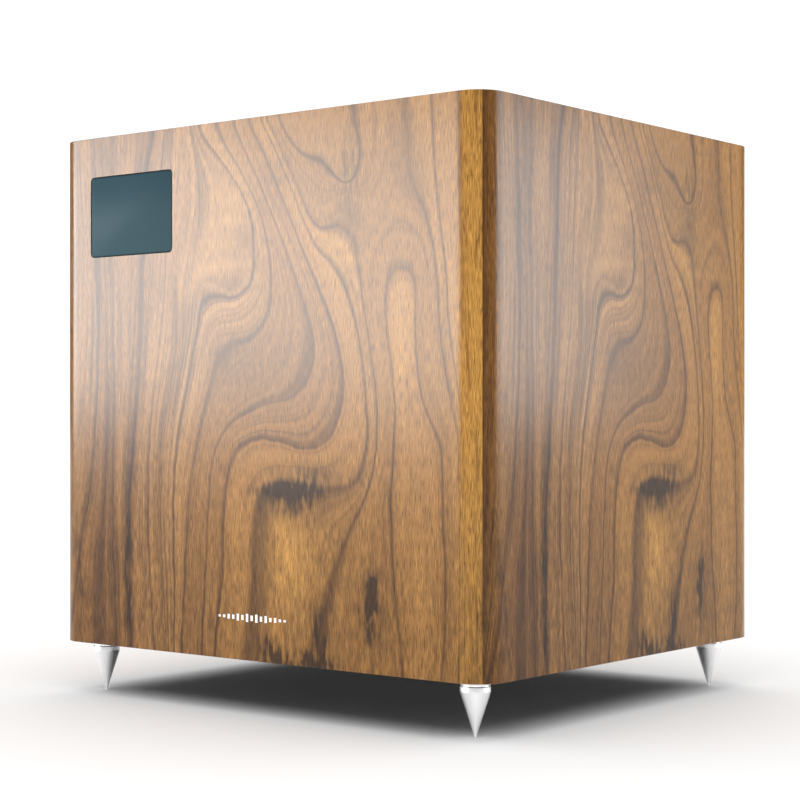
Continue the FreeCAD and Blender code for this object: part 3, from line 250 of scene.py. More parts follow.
class Look:
    """A node material being made. Lengths in it are metres in the object's own space."""

    def __init__(self, name, colour, roughness, metallic=0.0, specular=0.5):
        self.material = bpy.data.materials.new(name)
        self.material.use_nodes = True
        self.tree = self.material.node_tree
        self.shader = self.tree.nodes["Principled BSDF"]
        self.set("Base Color", (*colour, 1))
        self.set("Roughness", roughness)
        self.set("Metallic", metallic)
        self.set("Specular IOR Level", specular)

    def set(self, socket, value):
        """Feed one of the shader's sockets, by its name."""
        self.feed(self.shader.inputs[socket], value)

    def feed(self, socket, value):
        """Link a socket to another node's output, or give it a plain value."""
        if isinstance(value, bpy.types.NodeSocket):
            self.tree.links.new(value, socket)
        else:
            socket.default_value = value

    def node(self, kind, inputs=(), **settings):
        made = self.tree.nodes.new("ShaderNode" + kind)
        for name, value in settings.items():
            setattr(made, name, value)
        for name, value in dict(inputs).items():
            self.feed(made.inputs[name], value)
        return made

    def math(self, operation, *values):
        made = self.node("Math", operation=operation)
        for socket, value in zip(made.inputs, values):
            self.feed(socket, value)
        return made.outputs[0]

    def ranged(self, value, low, high, new_low, new_high):
        """A value carried from one range to another, and held at the ends."""
        made = self.node("MapRange", {
            "Value": value, "From Min": low, "From Max": high, "To Min": new_low, "To Max": new_high})
        return made.outputs[0]

    def place(self, stretch=(1, 1, 1)):
        """The point on the object, each axis scaled."""
        point = self.node("TexCoord").outputs["Object"]
        return self.scaled(point, stretch)

    def scaled(self, vector, stretch):
        made = self.node("VectorMath", operation="MULTIPLY")
        self.feed(made.inputs[0], vector)
        made.inputs[1].default_value = stretch
        return made.outputs[0]

    def noise(self, scale, stretch=(1, 1, 1), detail=3.0, vector=None):
        point = self.scaled(vector, stretch) if vector else self.place(stretch)
        made = self.node("TexNoise", {"Vector": point, "Scale": scale, "Detail": detail})
        return made.outputs[0]

    def cells(self, scale, stretch=(1, 1, 1)):
        made = self.node("TexVoronoi", {"Vector": self.place(stretch), "Scale": scale})
        return made.outputs[0]

    def wave(self, period, direction="Z", distortion=0.0):
        """Straight bands across a direction, one for each period."""
        inputs = {"Vector": self.place(), "Scale": WAVE_TURN / period, "Distortion": distortion}
        return self.node("TexWave", inputs, bands_direction=direction).outputs[1]

    def ramp(self, value, stops, interpolation="LINEAR"):
        made = self.node("ValToRGB", {"Fac": value})
        made.color_ramp.interpolation = interpolation
        elements = made.color_ramp.elements
        while len(elements) < len(stops):
            elements.new(1.0)
        for element, (position, colour) in zip(elements, stops):
            element.position = position
            element.color = (*colour, 1) if isinstance(colour, tuple) else (colour,) * 3 + (1,)
        return made.outputs[0]

    def mix(self, share, first, second, blend="MIX"):
        made = self.node("Mix", data_type="RGBA", blend_type=blend)
        for socket, value in zip((made.inputs[0], made.inputs[6], made.inputs[7]), (share, first, second)):
            self.feed(socket, (*value, 1) if isinstance(value, tuple) else value)
        return made.outputs[2]

    def bump(self, height, distance, strength=1.0):
        made = self.node("Bump", {"Height": height, "Distance": distance, "Strength": strength})
        self.set("Normal", made.outputs[0])


def shade(colour, factor):
    """A colour made darker, or lighter, by a factor."""
    return tuple(min(part * factor, 1.0) for part in colour)


# Dark latewood lines: age, how softly it starts, how sharply it ends, strength.
LATEWOOD = (
    (0.098, 0.012, 0.004, 0.85), (0.158, 0.014, 0.005, 0.75), (0.230, 0.009, 0.006, 1.00),
    (0.281, 0.005, 0.004, 0.70), (0.367, 0.006, 0.008, 1.00), (0.427, 0.006, 0.010, 0.95),
    (0.500, 0.010, 0.004, 0.80), (0.570, 0.012, 0.004, 0.95), (0.642, 0.007, 0.005, 1.00),
    (0.672, 0.006, 0.005, 0.90), (0.730, 0.007, 0.006, 0.95),
)
WOOD_SHADE = 0.97          # the whole leaf's lightness
SATIN = 0.21               # roughness of the lacquer
WOOD_ZONES = (
    (0.000, (0.170, 0.070, 0.018)), (0.060, (0.275, 0.130, 0.036)), (0.130, (0.215, 0.095, 0.026)),
    (0.190, (0.295, 0.140, 0.040)), (0.225, (0.200, 0.085, 0.022)), (0.260, (0.335, 0.164, 0.052)),
    (0.320, (0.305, 0.147, 0.044)), (0.350, (0.360, 0.182, 0.060)), (0.395, (0.350, 0.172, 0.052)),
    (0.440, (0.285, 0.131, 0.036)), (0.500, (0.300, 0.142, 0.040)), (0.560, (0.295, 0.136, 0.036)),
    (0.600, (0.350, 0.166, 0.042)), (0.660, (0.365, 0.176, 0.044)), (0.720, (0.320, 0.150, 0.038)),
    (0.800, (0.375, 0.182, 0.048)),
)
WOOD_COLOUR = (0.350, 0.172, 0.052)        # the middle tone
BAND_COLOUR = (0.285, 0.131, 0.036)        # of the slow bands along the rings
LATE_COLOUR = (0.046, 0.018, 0.008)
# Smoky wood, and painted shade at the leaf's foot and left edge, go towards this colour.
SMOKE_AND_SHADE_COLOUR = (0.024, 0.012, 0.006)
# Pale wood, and painted light at the leaf's right edge, go towards this colour.
PALE_COLOUR = (0.560, 0.285, 0.065)
THREADS = ((30, 0.050, 0.80), (75, 0.085, 0.70), (190, 0.16, 0.50))      # how many, how wide, how dark
CALM = (0.34, 0.42, 0.40)  # threads fade between these ages, to this share
DRIFT, RIPPLE = 0.012, 0.004      # how far a ring wanders from its drawn line, in age
# The wood's noises: how many a metre across the grain (a unit of age, for the bands), their share of
# that along it, and how detailed they are.
GRAIN = {
    "drift": (28, 0.35, 2),
    "ripple": (260, 0.16, 2),
    "bands": (26, 0.10, 2),
    "breaks": (22, 0.5, 2),        # where the latewood lines weaken
    "streaks": (420, 0.06, 2),
    "ragged": (330, 0.22, 3),
    "fibre": (2700, 0.055, 3),
    "pores": (2300, 0.05, 1),
}


def grain(look, name, vector):
    """One of the wood's noises."""
    scale, along, detail = GRAIN[name]
    return look.noise(scale, (1, along, 1), detail, vector)


def ring_shader(look, age):
    """How dark the wood is at its drawn latewood lines, which take two ramps."""
    half = len(LATEWOOD) // 2
    ramps = []
    for lines in (LATEWOOD[:half], LATEWOOD[half:]):
        stops = [(0.0, 0.0)]
        for centre, rise, fall, strength in lines:
            stops += [(centre - rise, 0.0), (centre, strength), (centre + fall, 0.0)]
        ramps.append(look.ramp(age, stops))
    return look.math("MAXIMUM", *ramps)


def add_threads(look, colour, age, ringwise):
    """Fine dark lines that follow the rings, closest together in the straight grain."""
    busy = look.ranged(age, *CALM[:2], 1, CALM[2])
    for pitch, width, strength in THREADS:
        ridge = look.math("SUBTRACT", look.noise(pitch, (1, 0.06, 1), 1, ringwise), 0.5)
        thin = look.ranged(look.math("ABSOLUTE", ridge), 0, width, 1, 0)
        here = look.ranged(look.noise(pitch / 3, (1, 0.3, 1), 2, ringwise), 0.42, 0.62, 0, strength)
        share = look.math("MULTIPLY", thin, look.math("MULTIPLY", here, busy))
        colour = look.mix(share, colour, LATE_COLOUR)
    return colour


def walnut():
    """Figured walnut under satin lacquer, drawn by the rings and patches stored on the leaf; some patches are
    painted shade and painted light.
    """
    look = Look("walnut_veneer", WOOD_COLOUR, SATIN, specular=0.21)
    figure_and_painted_light = look.node("Attribute", attribute_name="figure_and_painted_light").outputs["Vector"]
    leaf = look.node("Attribute", attribute_name="leaf").outputs["Vector"]
    # Its second value darkens smoky wood and painted shade; its third lightens pale wood and painted light.
    age, smoke_and_shade, pale = look.node("SeparateXYZ", {"Vector": figure_and_painted_light}).outputs

    drift = look.math("SUBTRACT", grain(look, "drift", leaf), 0.5)
    ripple = look.math("SUBTRACT", grain(look, "ripple", leaf), 0.5)
    age = look.math("MULTIPLY_ADD", drift, DRIFT, age)
    age = look.math("MULTIPLY_ADD", ripple, RIPPLE, age)
    along = look.node("SeparateXYZ", {"Vector": leaf}).outputs[1]
    ringwise = look.node("CombineXYZ", {"X": age, "Y": along}).outputs[0]

    colour = look.ramp(age, [(at, shade(zone, WOOD_SHADE)) for at, zone in WOOD_ZONES])
    bands = look.ranged(grain(look, "bands", ringwise), 0.35, 0.65, 0, 0.30)
    colour = look.mix(bands, colour, shade(BAND_COLOUR, 0.6))
    colour = add_threads(look, colour, age, ringwise)
    kept = look.ranged(grain(look, "breaks", leaf), 0.3, 0.6, 0.7, 1.0)
    colour = look.mix(look.math("MULTIPLY", ring_shader(look, age), kept), colour, LATE_COLOUR)

    # Painted light at the leaf's right edge lightens here along with pale wood.
    streaks = grain(look, "streaks", leaf)
    pale_share = look.math("MULTIPLY", pale, look.ranged(streaks, 0.56, 0.68, 0.65, 0.1))
    colour = look.mix(pale_share, colour, PALE_COLOUR)
    # Painted shade at the leaf's foot and left edge darkens here along with smoky wood.
    ragged = look.ranged(grain(look, "ragged", leaf), 0.35, 0.65, 0.30, 1.35)
    smoke_and_shade_share = look.math("MINIMUM", look.math("MULTIPLY", smoke_and_shade, ragged), 0.93)
    colour = look.mix(smoke_and_shade_share, colour, SMOKE_AND_SHADE_COLOUR)

    fibre = grain(look, "fibre", leaf)
    colour = look.mix(0.95, colour, look.ramp(fibre, ((0.34, 0.28), (0.66, 0.70))), "OVERLAY")
    pores = look.ranged(grain(look, "pores", leaf), 0.60, 0.72, 0, 0.75)
    look.set("Base Color", look.mix(pores, colour, shade(LATE_COLOUR, 1.4)))
    look.set("Roughness", look.ranged(fibre, 0.3, 0.7, SATIN - 0.03, SATIN + 0.04))
    look.bump(look.math("SUBTRACT", fibre, pores), 0.00002, 0.5)
    return look.material


def plain(name, colour, roughness, metallic=0.0, specular=0.5, grain=900.0, stretch=(1, 1, 1),
          vary=0.18, depth=0.00003, uneven=0.06):
    """Fine grain, slow shifts of shade and uneven polish, given as a look that others can add to."""
    look = Look(name, colour, roughness, metallic, specular)
    fine = look.noise(grain, stretch, 4)
    slow = look.noise(22, detail=3)
    tone = look.ramp(slow, ((0.3, shade(colour, 1 - vary)), (0.7, shade(colour, 1 + vary))))
    flecked = look.mix(look.ranged(fine, 0.35, 0.65, 0, vary), tone, shade(colour, 0.7))
    look.set("Base Color", flecked)
    look.set("Roughness", look.ranged(slow, 0.3, 0.7, roughness - uneven, roughness + uneven))
    look.bump(fine, depth, 0.6)
    return look


def fibreboard():
    look = plain("fibreboard", (0.30, 0.205, 0.125), 0.9, specular=0.2, grain=1500, vary=0.1)
    chips = look.cells(900, (1, 1, 2.5))
    base = look.mix(look.ranged(chips, 0.1, 0.6, 0.3, 0), (0.33, 0.23, 0.14), (0.19, 0.12, 0.07))
    look.set("Base Color", base)
    return look.material


def black_paint():
    """Spatter-textured black paint on the underside."""
    look = plain("black_paint", (0.012, 0.012, 0.013), 0.55, specular=0.35, grain=700, depth=0.0001)
    spatter = look.cells(650)
    look.bump(look.ranged(spatter, 0.0, 0.55, 1, 0), 0.00012, 0.7)
    return look.material


def display_glass():
    """Smoked glass with a satin face and a darker border, and painted light that makes it lighter towards its
    foot.
    """
    look = Look("display_glass", (0.030, 0.058, 0.070), 0.30, specular=0.012)
    low, high = box("display_window")
    middle = (low + high) / 2
    point = look.node("SeparateXYZ", {"Vector": look.place()})
    across = look.math("ABSOLUTE", look.math("SUBTRACT", point.outputs[0], middle.x))
    up = look.math("ABSOLUTE", look.math("SUBTRACT", point.outputs[2], middle.z))
    half_wide, half_tall = (high.x - low.x) / 2, (high.z - low.z) / 2
    from_edge = look.math("MINIMUM", look.math("SUBTRACT", half_wide, across),
                          look.math("SUBTRACT", half_tall, up))
    # Painted light: the glass is painted lighter towards its foot and darker towards its top.
    rise = look.ranged(point.outputs[2], low.z, high.z, 0, 1)
    tint_with_painted_light = look.ramp(rise, ((0.0, (0.047, 0.082, 0.096)), (1.0, (0.031, 0.062, 0.078))))
    haze = look.noise(900, detail=3)
    tint_with_painted_light = look.mix(look.ranged(haze, 0.3, 0.7, 0, 0.12), tint_with_painted_light, (0.030, 0.055, 0.066))
    border = look.ranged(from_edge, 0.0004, 0.0010, 0.75, 0)
    look.set("Base Color", look.mix(border, tint_with_painted_light, (0.014, 0.024, 0.030)))
    look.bump(haze, 0.000002, 0.2)
    return look.material


def display_panel():
    look = plain("display_panel", (0.010, 0.016, 0.019), 0.2, grain=1200, depth=0.000005)
    dots = look.cells(2200)
    look.set("Base Color", look.mix(look.ranged(dots, 0.1, 0.5, 1, 0), (0.006, 0.010, 0.012),
                                    (0.014, 0.022, 0.026)))
    return look.material


def board_green():
    """Solder mask over copper tracks, with plated pads."""
    look = plain("board_green", (0.010, 0.085, 0.038), 0.32, grain=1600, depth=0.00001)
    tracks = look.wave(0.0052, "X", 14.0)
    tracks = look.ranged(tracks, 0.55, 0.62, 0, 1)
    pads = look.ranged(look.cells(240), 0.10, 0.13, 1, 0)
    masked = look.mix(tracks, (0.008, 0.070, 0.030), (0.020, 0.135, 0.060))
    look.set("Base Color", look.mix(pads, masked, (0.62, 0.60, 0.55)))
    look.set("Metallic", look.math("MULTIPLY", pads, 0.9))
    look.bump(look.math("ADD", tracks, pads), 0.00003, 0.8)
    return look.material


def polished_chrome():
    look = plain("polished_chrome", (0.96, 0.96, 0.97), 0.32, metallic=1.0, grain=500,
                 stretch=(1, 1, 9), vary=0.015, depth=0.000003, uneven=0.02)
    return look.material


def threaded_steel():
    """Zinc-plated steel with rolled threads."""
    look = plain("zinc_steel", (0.62, 0.64, 0.66), 0.3, metallic=1.0, grain=1200, vary=0.08)
    look.bump(look.wave(THREAD_PITCH), 0.0003, 0.7)
    return look.material


def turned(name, colour, roughness):
    """Turned metal: fine rings round an upright axis."""
    look = plain(name, colour, roughness, metallic=1.0, grain=1500, stretch=(0.2, 0.2, 5), vary=0.06,
                 depth=0.00001)
    return look.material


def cone_paper():
    """Pressed black pulp with random fibres."""
    look = Look("cone_paper", (0.018, 0.018, 0.019), 0.75, specular=0.3)
    fibres = look.noise(900, (1, 1, 0.4), 6)
    tangle = look.cells(480)
    base = look.ramp(fibres, ((0.35, (0.022, 0.022, 0.023)), (0.68, (0.080, 0.078, 0.077))))
    look.set("Base Color", look.mix(look.ranged(tangle, 0.0, 0.12, 0.4, 0), base, (0.07, 0.068, 0.066)))
    look.bump(fibres, 0.00010, 0.6)
    return look.material


def surround_rubber():
    look = plain("surround_rubber", (0.014, 0.014, 0.015), 0.48, specular=0.4, grain=1400, vary=0.25)
    bloom = look.noise(60, detail=5)
    look.set("Base Color", look.ramp(bloom, ((0.35, (0.010, 0.010, 0.011)), (0.75, (0.028, 0.028, 0.029)))))
    return look.material


def woven(name, colour, pitch, roughness=0.85, depth=0.00012):
    """A plain weave: two crossed sets of threads."""
    look = Look(name, colour, roughness, specular=0.2)
    warp = look.wave(pitch, "X", 0.4)
    weft = look.wave(pitch, "Y", 0.4)
    threads = look.math("MAXIMUM", warp, weft)
    tone = look.ramp(threads, ((0.2, shade(colour, 0.45)), (0.9, shade(colour, 1.2))))
    stain = look.noise(30, detail=3)
    look.set("Base Color", look.mix(look.ranged(stain, 0.3, 0.7, 0, 0.3), tone, shade(colour, 0.7)))
    look.bump(threads, depth, 0.8)
    return look.material


def brushed(name, colour, roughness, stretch):
    look = plain(name, colour, roughness, metallic=1.0, grain=700, stretch=stretch, vary=0.1,
                 depth=0.00002)
    return look.material


def copper_wire():
    """Enamelled wire wound in close turns."""
    look = plain("copper_wire", (0.56, 0.20, 0.075), 0.25, metallic=1.0, grain=900, stretch=(1, 1, 6))
    turns = look.wave(0.00045)
    look.set("Base Color", look.ramp(turns, ((0.1, (0.16, 0.045, 0.018)), (0.6, (0.62, 0.24, 0.09)))))
    look.bump(turns, 0.00015, 0.9)
    return look.material


def ferrite():
    look = plain("ferrite", (0.042, 0.041, 0.042), 0.5, specular=0.4, grain=420, stretch=(1, 1, 0.3),
                 vary=0.3, depth=0.0001)
    return look.material


def textured_plate():
    """Fine-textured black powder coat on the amplifier's plate and the basket."""
    look = plain("black_metal", (0.016, 0.016, 0.017), 0.42, specular=0.45, grain=1000, vary=0.25)
    leather = look.cells(1300)
    look.bump(look.ranged(leather, 0.05, 0.5, 1, 0), 0.00008, 0.6)
    return look.material


def socket_colours():
    """Each socket's insulator has its own colour, told apart by where it stands."""
    look = Look("socket_colours", (0.7, 0.7, 0.7), 0.35)
    low, high = box("socket_insulators")
    across = look.node("SeparateXYZ", {"Vector": look.place()}).outputs[0]
    place = look.ranged(across, low.x, high.x, 0, 1)
    hues = ((0.0, (0.48, 0.018, 0.016)), (0.33, (0.72, 0.71, 0.68)), (0.66, (0.016, 0.016, 0.018)))
    hue = look.ramp(place, hues, "CONSTANT")
    fine = look.noise(900, detail=3)
    look.set("Base Color", look.mix(look.ranged(fine, 0.4, 0.7, 0, 0.12), hue, (0.05, 0.05, 0.05)))
    look.bump(fine, 0.00002, 0.4)
    return look.material


def capacitor_sleeve():
    """Shrunk sleeve with the pale polarity band down one side."""
    look = plain("capacitor_sleeve", (0.012, 0.022, 0.060), 0.3, grain=600, vary=0.15)
    band = look.wave(0.0143, "X")
    striped = look.mix(look.ranged(band, 0.90, 0.93, 0, 1), (0.012, 0.022, 0.060), (0.42, 0.45, 0.50))
    look.set("Base Color", striped)
    return look.material


def transformer_tape():
    look = plain("transformer_tape", (0.62, 0.46, 0.055), 0.35, grain=500, vary=0.12)
    laps = look.wave(0.007, "Z", 0.6)
    look.set("Base Color", look.ramp(laps, ((0.3, (0.46, 0.32, 0.035)), (0.8, (0.70, 0.53, 0.08)))))
    look.bump(laps, 0.0002, 0.6)
    return look.material


def wadding():
    """Loose white polyester fibre."""
    look = Look("wadding", (0.80, 0.79, 0.76), 0.95, specular=0.1)
    tufts = look.noise(160, detail=8)
    strands = look.noise(1400, (1, 0.25, 1), 5)
    base = look.ramp(tufts, ((0.3, (0.50, 0.49, 0.46)), (0.7, (0.86, 0.85, 0.83))))
    look.set("Base Color", look.mix(look.ranged(strands, 0.4, 0.7, 0.3, 0), base, (0.6, 0.59, 0.57)))
    look.set("Sheen Weight", 0.4)
    look.bump(look.math("ADD", tufts, strands), 0.0012, 0.8)
    return look.material


def make_materials():
    """One finished material for each of the record's slots."""
    return {
        "walnut_veneer": walnut(),
        "fibreboard": fibreboard(),
        "black_paint": black_paint(),
        "display_glass": display_glass(),
        "display_panel": display_panel(),
        "board_green": board_green(),
        "pale_print": plain("pale_print", (0.78, 0.77, 0.75), 0.5, grain=2500, vary=0.05).material,
        "polished_chrome": polished_chrome(),
        "zinc_steel": threaded_steel(),
        "brass": turned("brass", (0.72, 0.52, 0.22), 0.28),
        "black_metal": textured_plate(),
        "black_screw": plain("black_screw", (0.022, 0.022, 0.024), 0.3, metallic=0.7).material,
        "foam": plain("foam", (0.020, 0.020, 0.021), 0.95, specular=0.1, grain=2200, vary=0.4,
                      depth=0.0002).material,
        "cone_paper": cone_paper(),
        "surround_rubber": surround_rubber(),
        "spider_cloth": woven("spider_cloth", (0.50, 0.34, 0.14), 0.0008),
        "aluminium": brushed("aluminium", (0.72, 0.73, 0.74), 0.3, (1, 1, 0.06)),
        "copper_wire": copper_wire(),
        "motor_steel": brushed("motor_steel", (0.50, 0.50, 0.52), 0.35, (0.2, 0.2, 5)),
        "ferrite": ferrite(),
        "black_plastic": plain("black_plastic", (0.020, 0.020, 0.021), 0.42, grain=1300,
                               vary=0.2, depth=0.00004).material,
        "gloss_black_plastic": plain("gloss_black_plastic", (0.015, 0.015, 0.016), 0.14, grain=900,
                                     vary=0.2, depth=0.000004).material,
        "socket_colours": socket_colours(),
        "plated_contact": turned("plated_contact", (0.80, 0.79, 0.76), 0.18),
        "capacitor_sleeve": capacitor_sleeve(),
        "transformer_tape": transformer_tape(),
        "lead_rubber": plain("lead_rubber", (0.10, 0.012, 0.010), 0.5, grain=800, vary=0.2).material,
        "grey_cable": plain("grey_cable", (0.26, 0.265, 0.27), 0.5, grain=700, vary=0.12).material,
        "wadding": wadding(),
    }


def paint_nodes(materials):
    """Every CAD node takes the finished material of its slot."""
    for row in frame["record"]["subparts"]:
        mesh = frame["nodes"][row["node"]].data
        mesh.materials.clear()
        mesh.materials.append(materials[row["material_slot"]])


# ---------------------------------------------------------------- mesh helpers

def new_piece(name, vertices, faces, material):
    """A smooth-shaded object that joins the scene under its slot."""
    mesh = bpy.data.meshes.new(name)
    mesh.from_pydata([tuple(v) for v in vertices], [], faces)
    mesh.validate()
    mesh.update()
    piece = bpy.data.objects.new(name, mesh)
    bpy.context.scene.collection.objects.link(piece)
    mesh.materials.append(material)
    mesh.shade_smooth()
    return piece


SAME_POINT = 1e-7          # points closer than this are one
CAD_POINT = 1e-6           # and the same for the meshes that come from the CAD
CUT_STEPS = 6              # steps round each corner of a cut
UNSPLIT = 1.0              # a spacing that leaves the straights in one piece


def smooth_by_angle(piece, degrees=35.0):
    """Smooth shading, with edges sharper than the angle kept crisp and coinciding points joined."""
    mesh = piece.data
    mesh.shade_smooth()
    made = bmesh.new()
    made.from_mesh(mesh)
    bmesh.ops.remove_doubles(made, verts=made.verts, dist=SAME_POINT)
    bmesh.ops.recalc_face_normals(made, faces=made.faces)
    for edge in made.edges:
        edge.smooth = len(edge.link_faces) == 2 and edge.calc_face_angle(0) < math.radians(degrees)
    made.to_mesh(mesh)
    made.free()


def rounded_outline(half_wide, half_tall, radius, corner_steps, step):
    """Points round a rounded rectangle, anticlockwise from the right of its lower edge."""
    points = []
    corners = ((1, -1), (1, 1), (-1, 1), (-1, -1))
    for turn, (x, y) in enumerate(corners):
        centre = Vector((x * (half_wide - radius), y * (half_tall - radius)))
        for index in range(corner_steps + 1):
            angle = math.radians(90) * (turn - 1 + index / corner_steps)
            points.append(centre + radius * Vector((math.cos(angle), math.sin(angle))))
        straight = 2 * (half_tall if turn % 2 == 0 else half_wide) - 2 * radius
        next_x, next_y = corners[(turn + 1) % 4]
        ahead = Vector((next_x * (half_wide - radius), next_y * (half_tall - radius)))
        outward = radius * Vector((math.cos(angle), math.sin(angle)))
        pieces = max(1, round(straight / step))
        for index in range(1, pieces):
            points.append(centre.lerp(ahead, index / pieces) + outward)
    return points


def loft(name, loops, material, closed=True):
    """A skin over loops of equal length. closed joins the last loop to the first, else both are capped."""
    count = len(loops[0])
    vertices = [point for loop in loops for point in loop]
    rows = len(loops) if closed else len(loops) - 1
    faces = []
    for row in range(rows):
        here, there = row * count, (row + 1) % len(loops) * count
        for index in range(count):
            after = (index + 1) % count
            faces.append((here + index, here + after, there + after, there + index))
    if not closed:
        faces.append(tuple(reversed(range(count))))
        faces.append(tuple(range((len(loops) - 1) * count, len(loops) * count)))
    return new_piece(name, vertices, faces, material)


def upright_ring(middle, y, ring):
    """An outline set upright round a middle, facing along Y."""
    return [Vector((middle.x + point.x, y, middle.z + point.y)) for point in ring]


def cutter(low, high, radius):
    """A rounded block that runs through from low to high along Y."""
    middle, half = (low + high) / 2, (high - low) / 2
    ring = rounded_outline(half.x, half.z, radius, CUT_STEPS, UNSPLIT)
    loops = [upright_ring(middle, y, ring) for y in (low.y, high.y)]
    block = loft("cutter", loops, None, closed=False)
    smooth_by_angle(block)
    return block


def subtract(piece, *cutters):
    """Cut blocks out of a piece, then throw them away."""
    bpy.context.view_layer.objects.active = piece
    for block in cutters:
        modifier = piece.modifiers.new("Cut", "BOOLEAN")
        modifier.operation = "DIFFERENCE"
        modifier.solver = "EXACT"
        modifier.object = block
        with bpy.context.temp_override(object=piece, active_object=piece):
            bpy.ops.object.modifier_apply(modifier=modifier.name)
        bpy.data.objects.remove(block)


def lathe(name, outline, centre, material, sides=96, start=0.0, sweep=math.tau):
    """A closed outline of (radius, height) points turned about an upright axis, whole or in part."""
    whole = sweep >= math.tau
    stations = sides if whole else sides + 1
    vertices = []
    for index in range(stations):
        angle = start + sweep * index / sides
        for radius, height in outline:
            out_x, out_y = radius * math.cos(angle), radius * math.sin(angle)
            vertices.append((centre[0] + out_x, centre[1] + out_y, height))
    count = len(outline)
    faces = []
    for index in range(sides):
        here, there = index * count, (index + 1) % stations * count
        for point in range(count):
            after = (point + 1) % count
            faces.append((here + point, there + point, there + after, here + after))
    if not whole:
        faces.append(tuple(range(count)))
        faces.append(tuple(reversed(range(sides * count, sides * count + count))))
    piece = new_piece(name, vertices, faces, material)
    smooth_by_angle(piece)
    return piece


# ---------------------------------------------------------------- veneer

def store_figure(piece, sheets):
    """Write the grain onto a leaf: the first attribute holds age, dark patches (smoky wood and painted shade)
    and pale patches (pale wood and painted light), the second holds metres along the leaf.

    sheets gives the map of the leaf around a face's centre: from a point to its shares across and down
    the leaf, and its metres across and up.
    """
    mesh = piece.data
    rings, smoke_and_shade, pale = ring_field(), patch_field(True), patch_field(False)
    corners = len(mesh.loops)
    across, down, run, rise = (np.zeros(corners) for _ in range(4))
    for polygon in mesh.polygons:
        sheet = sheets(polygon.center)
        for loop in polygon.loop_indices:
            point = mesh.vertices[mesh.loops[loop].vertex_index].co
            across[loop], down[loop], run[loop], rise[loop] = sheet(point)
    figure_and_painted_light = np.stack([look_up(field, across, down) for field in (rings, smoke_and_shade, pale)], axis=1)
    leaf = np.stack([run, rise, np.zeros(corners)], axis=1)
    for name, values in (("figure_and_painted_light", figure_and_painted_light), ("leaf", leaf)):
        attribute = mesh.attributes.new(name, "FLOAT_VECTOR", "CORNER")
        attribute.data.foreach_set("vector", values.astype(np.float32).ravel())


def round_the_corner(point, half_wide, half_deep):
    """How far a point has turned round its corner, from an end to a side, and where the corners start."""
    flat_x, flat_y = half_wide - CORNER, half_deep - CORNER
    over_x, over_y = abs(point.x) - flat_x, abs(point.y) - flat_y
    if over_x > 0 and over_y > 0:
        turn = math.atan2(over_x, over_y)
    else:
        turn = 0 if over_x <= 0 else math.pi / 2
    return turn, flat_x, flat_y


def side_sheet(centre, low, high):
    """The map of one side's leaf, for a patch of skin around the given point."""
    half_wide, half_deep = (high.x - low.x) / 2, (high.y - low.y) / 2
    turn, flat_x, flat_y = round_the_corner(centre, half_wide, half_deep)
    on_end = turn > math.pi / 4
    tall = high.z - low.z
    wide = 2 * (half_deep if on_end else half_wide)
    sign = (1 if centre.x > 0 else -1) if on_end else (1 if centre.y < 0 else -1)

    def sheet(point):
        here, _, _ = round_the_corner(point, half_wide, half_deep)
        if on_end:
            flat, along, bend = flat_y, point.y, CORNER * (math.pi / 2 - here)
        else:
            flat, along, bend = flat_x, point.x, CORNER * here
        run = math.copysign(min(abs(along), flat) + (bend if abs(along) > flat else 0), along) * sign
        return run / wide + 0.5, (high.z - point.z) / tall, run, point.z
    return sheet


def opening(node, margin, radius, face):
    """A cutter through the leaf, at the y of its face, for a CAD node and a margin round it."""
    low, high = box(node)
    low.y = high.y = face
    reach = Vector((margin, 3 * VENEER, margin))
    return cutter(low - reach, high + reach, radius)


def make_side_leaf(material):
    """The leaf round the four sides, open at the display and at the amplifier."""
    low, high = box("veneer_wrap")
    half_wide, half_deep = (high.x - low.x) / 2, (high.y - low.y) / 2
    rows = round((high.z - low.z) / LEAF_STEP)
    heights = [low.z, low.z + EASED]
    heights += [low.z + (high.z - low.z) * row / rows for row in range(1, rows)]
    heights += [high.z - EASED, high.z]
    profile = [(EASED if z in (low.z, high.z) else 0.0, z) for z in heights]
    profile += [(VENEER, z) for z in (high.z, (low.z + high.z) / 2, low.z)]
    outline = rounded_outline(half_wide, half_deep, CORNER, CORNER_STEPS, LEAF_STEP)
    slim = rounded_outline(half_wide - EASED, half_deep - EASED, CORNER - EASED, CORNER_STEPS, LEAF_STEP)
    loops = []
    for inset, z in profile:
        ring = [outer.lerp(inner, inset / EASED) for outer, inner in zip(outline, slim)]
        loops.append([Vector((point.x, point.y, z)) for point in ring])
    piece = loft("veneer_sides", loops, material)
    subtract(
        piece,
        opening("display_window", WINDOW_MARGIN, LENS_ROUND, low.y),
        opening("amp_plate", PLATE_MARGIN, PLATE_ROUND, high.y),
    )
    smooth_by_angle(piece)
    store_figure(piece, lambda centre: side_sheet(centre, low, high))
    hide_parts("veneer_wrap")
    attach(piece, "cabinet")


def make_top_leaf(material):
    """The leaf on the top, inside the rim of the side leaf."""
    low, high = box("veneer_top")
    half_wide, half_deep = (high.x - low.x) / 2, (high.y - low.y) / 2
    outline = rounded_outline(half_wide - LEAF_GAP, half_deep - LEAF_GAP, CORNER - VENEER,
                              CORNER_STEPS, LEAF_STEP)
    rings = round(half_deep / LEAF_STEP / 2)
    loops = [[Vector((point.x, point.y, low.z)) for point in outline]]
    for ring in range(rings):
        share = 1 - ring / rings
        loops.append([Vector((point.x * share, point.y * share, high.z)) for point in outline])
    piece = loft("veneer_lid", loops, material, closed=False)
    smooth_by_angle(piece)

    def sheet(point):
        return point.x / (2 * half_wide) + 0.5, 0.5 - point.y / (2 * half_deep), point.x, point.y
    store_figure(piece, lambda centre: sheet)
    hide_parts("veneer_top")
    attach(piece, "cabinet")


# ---------------------------------------------------------------- feet

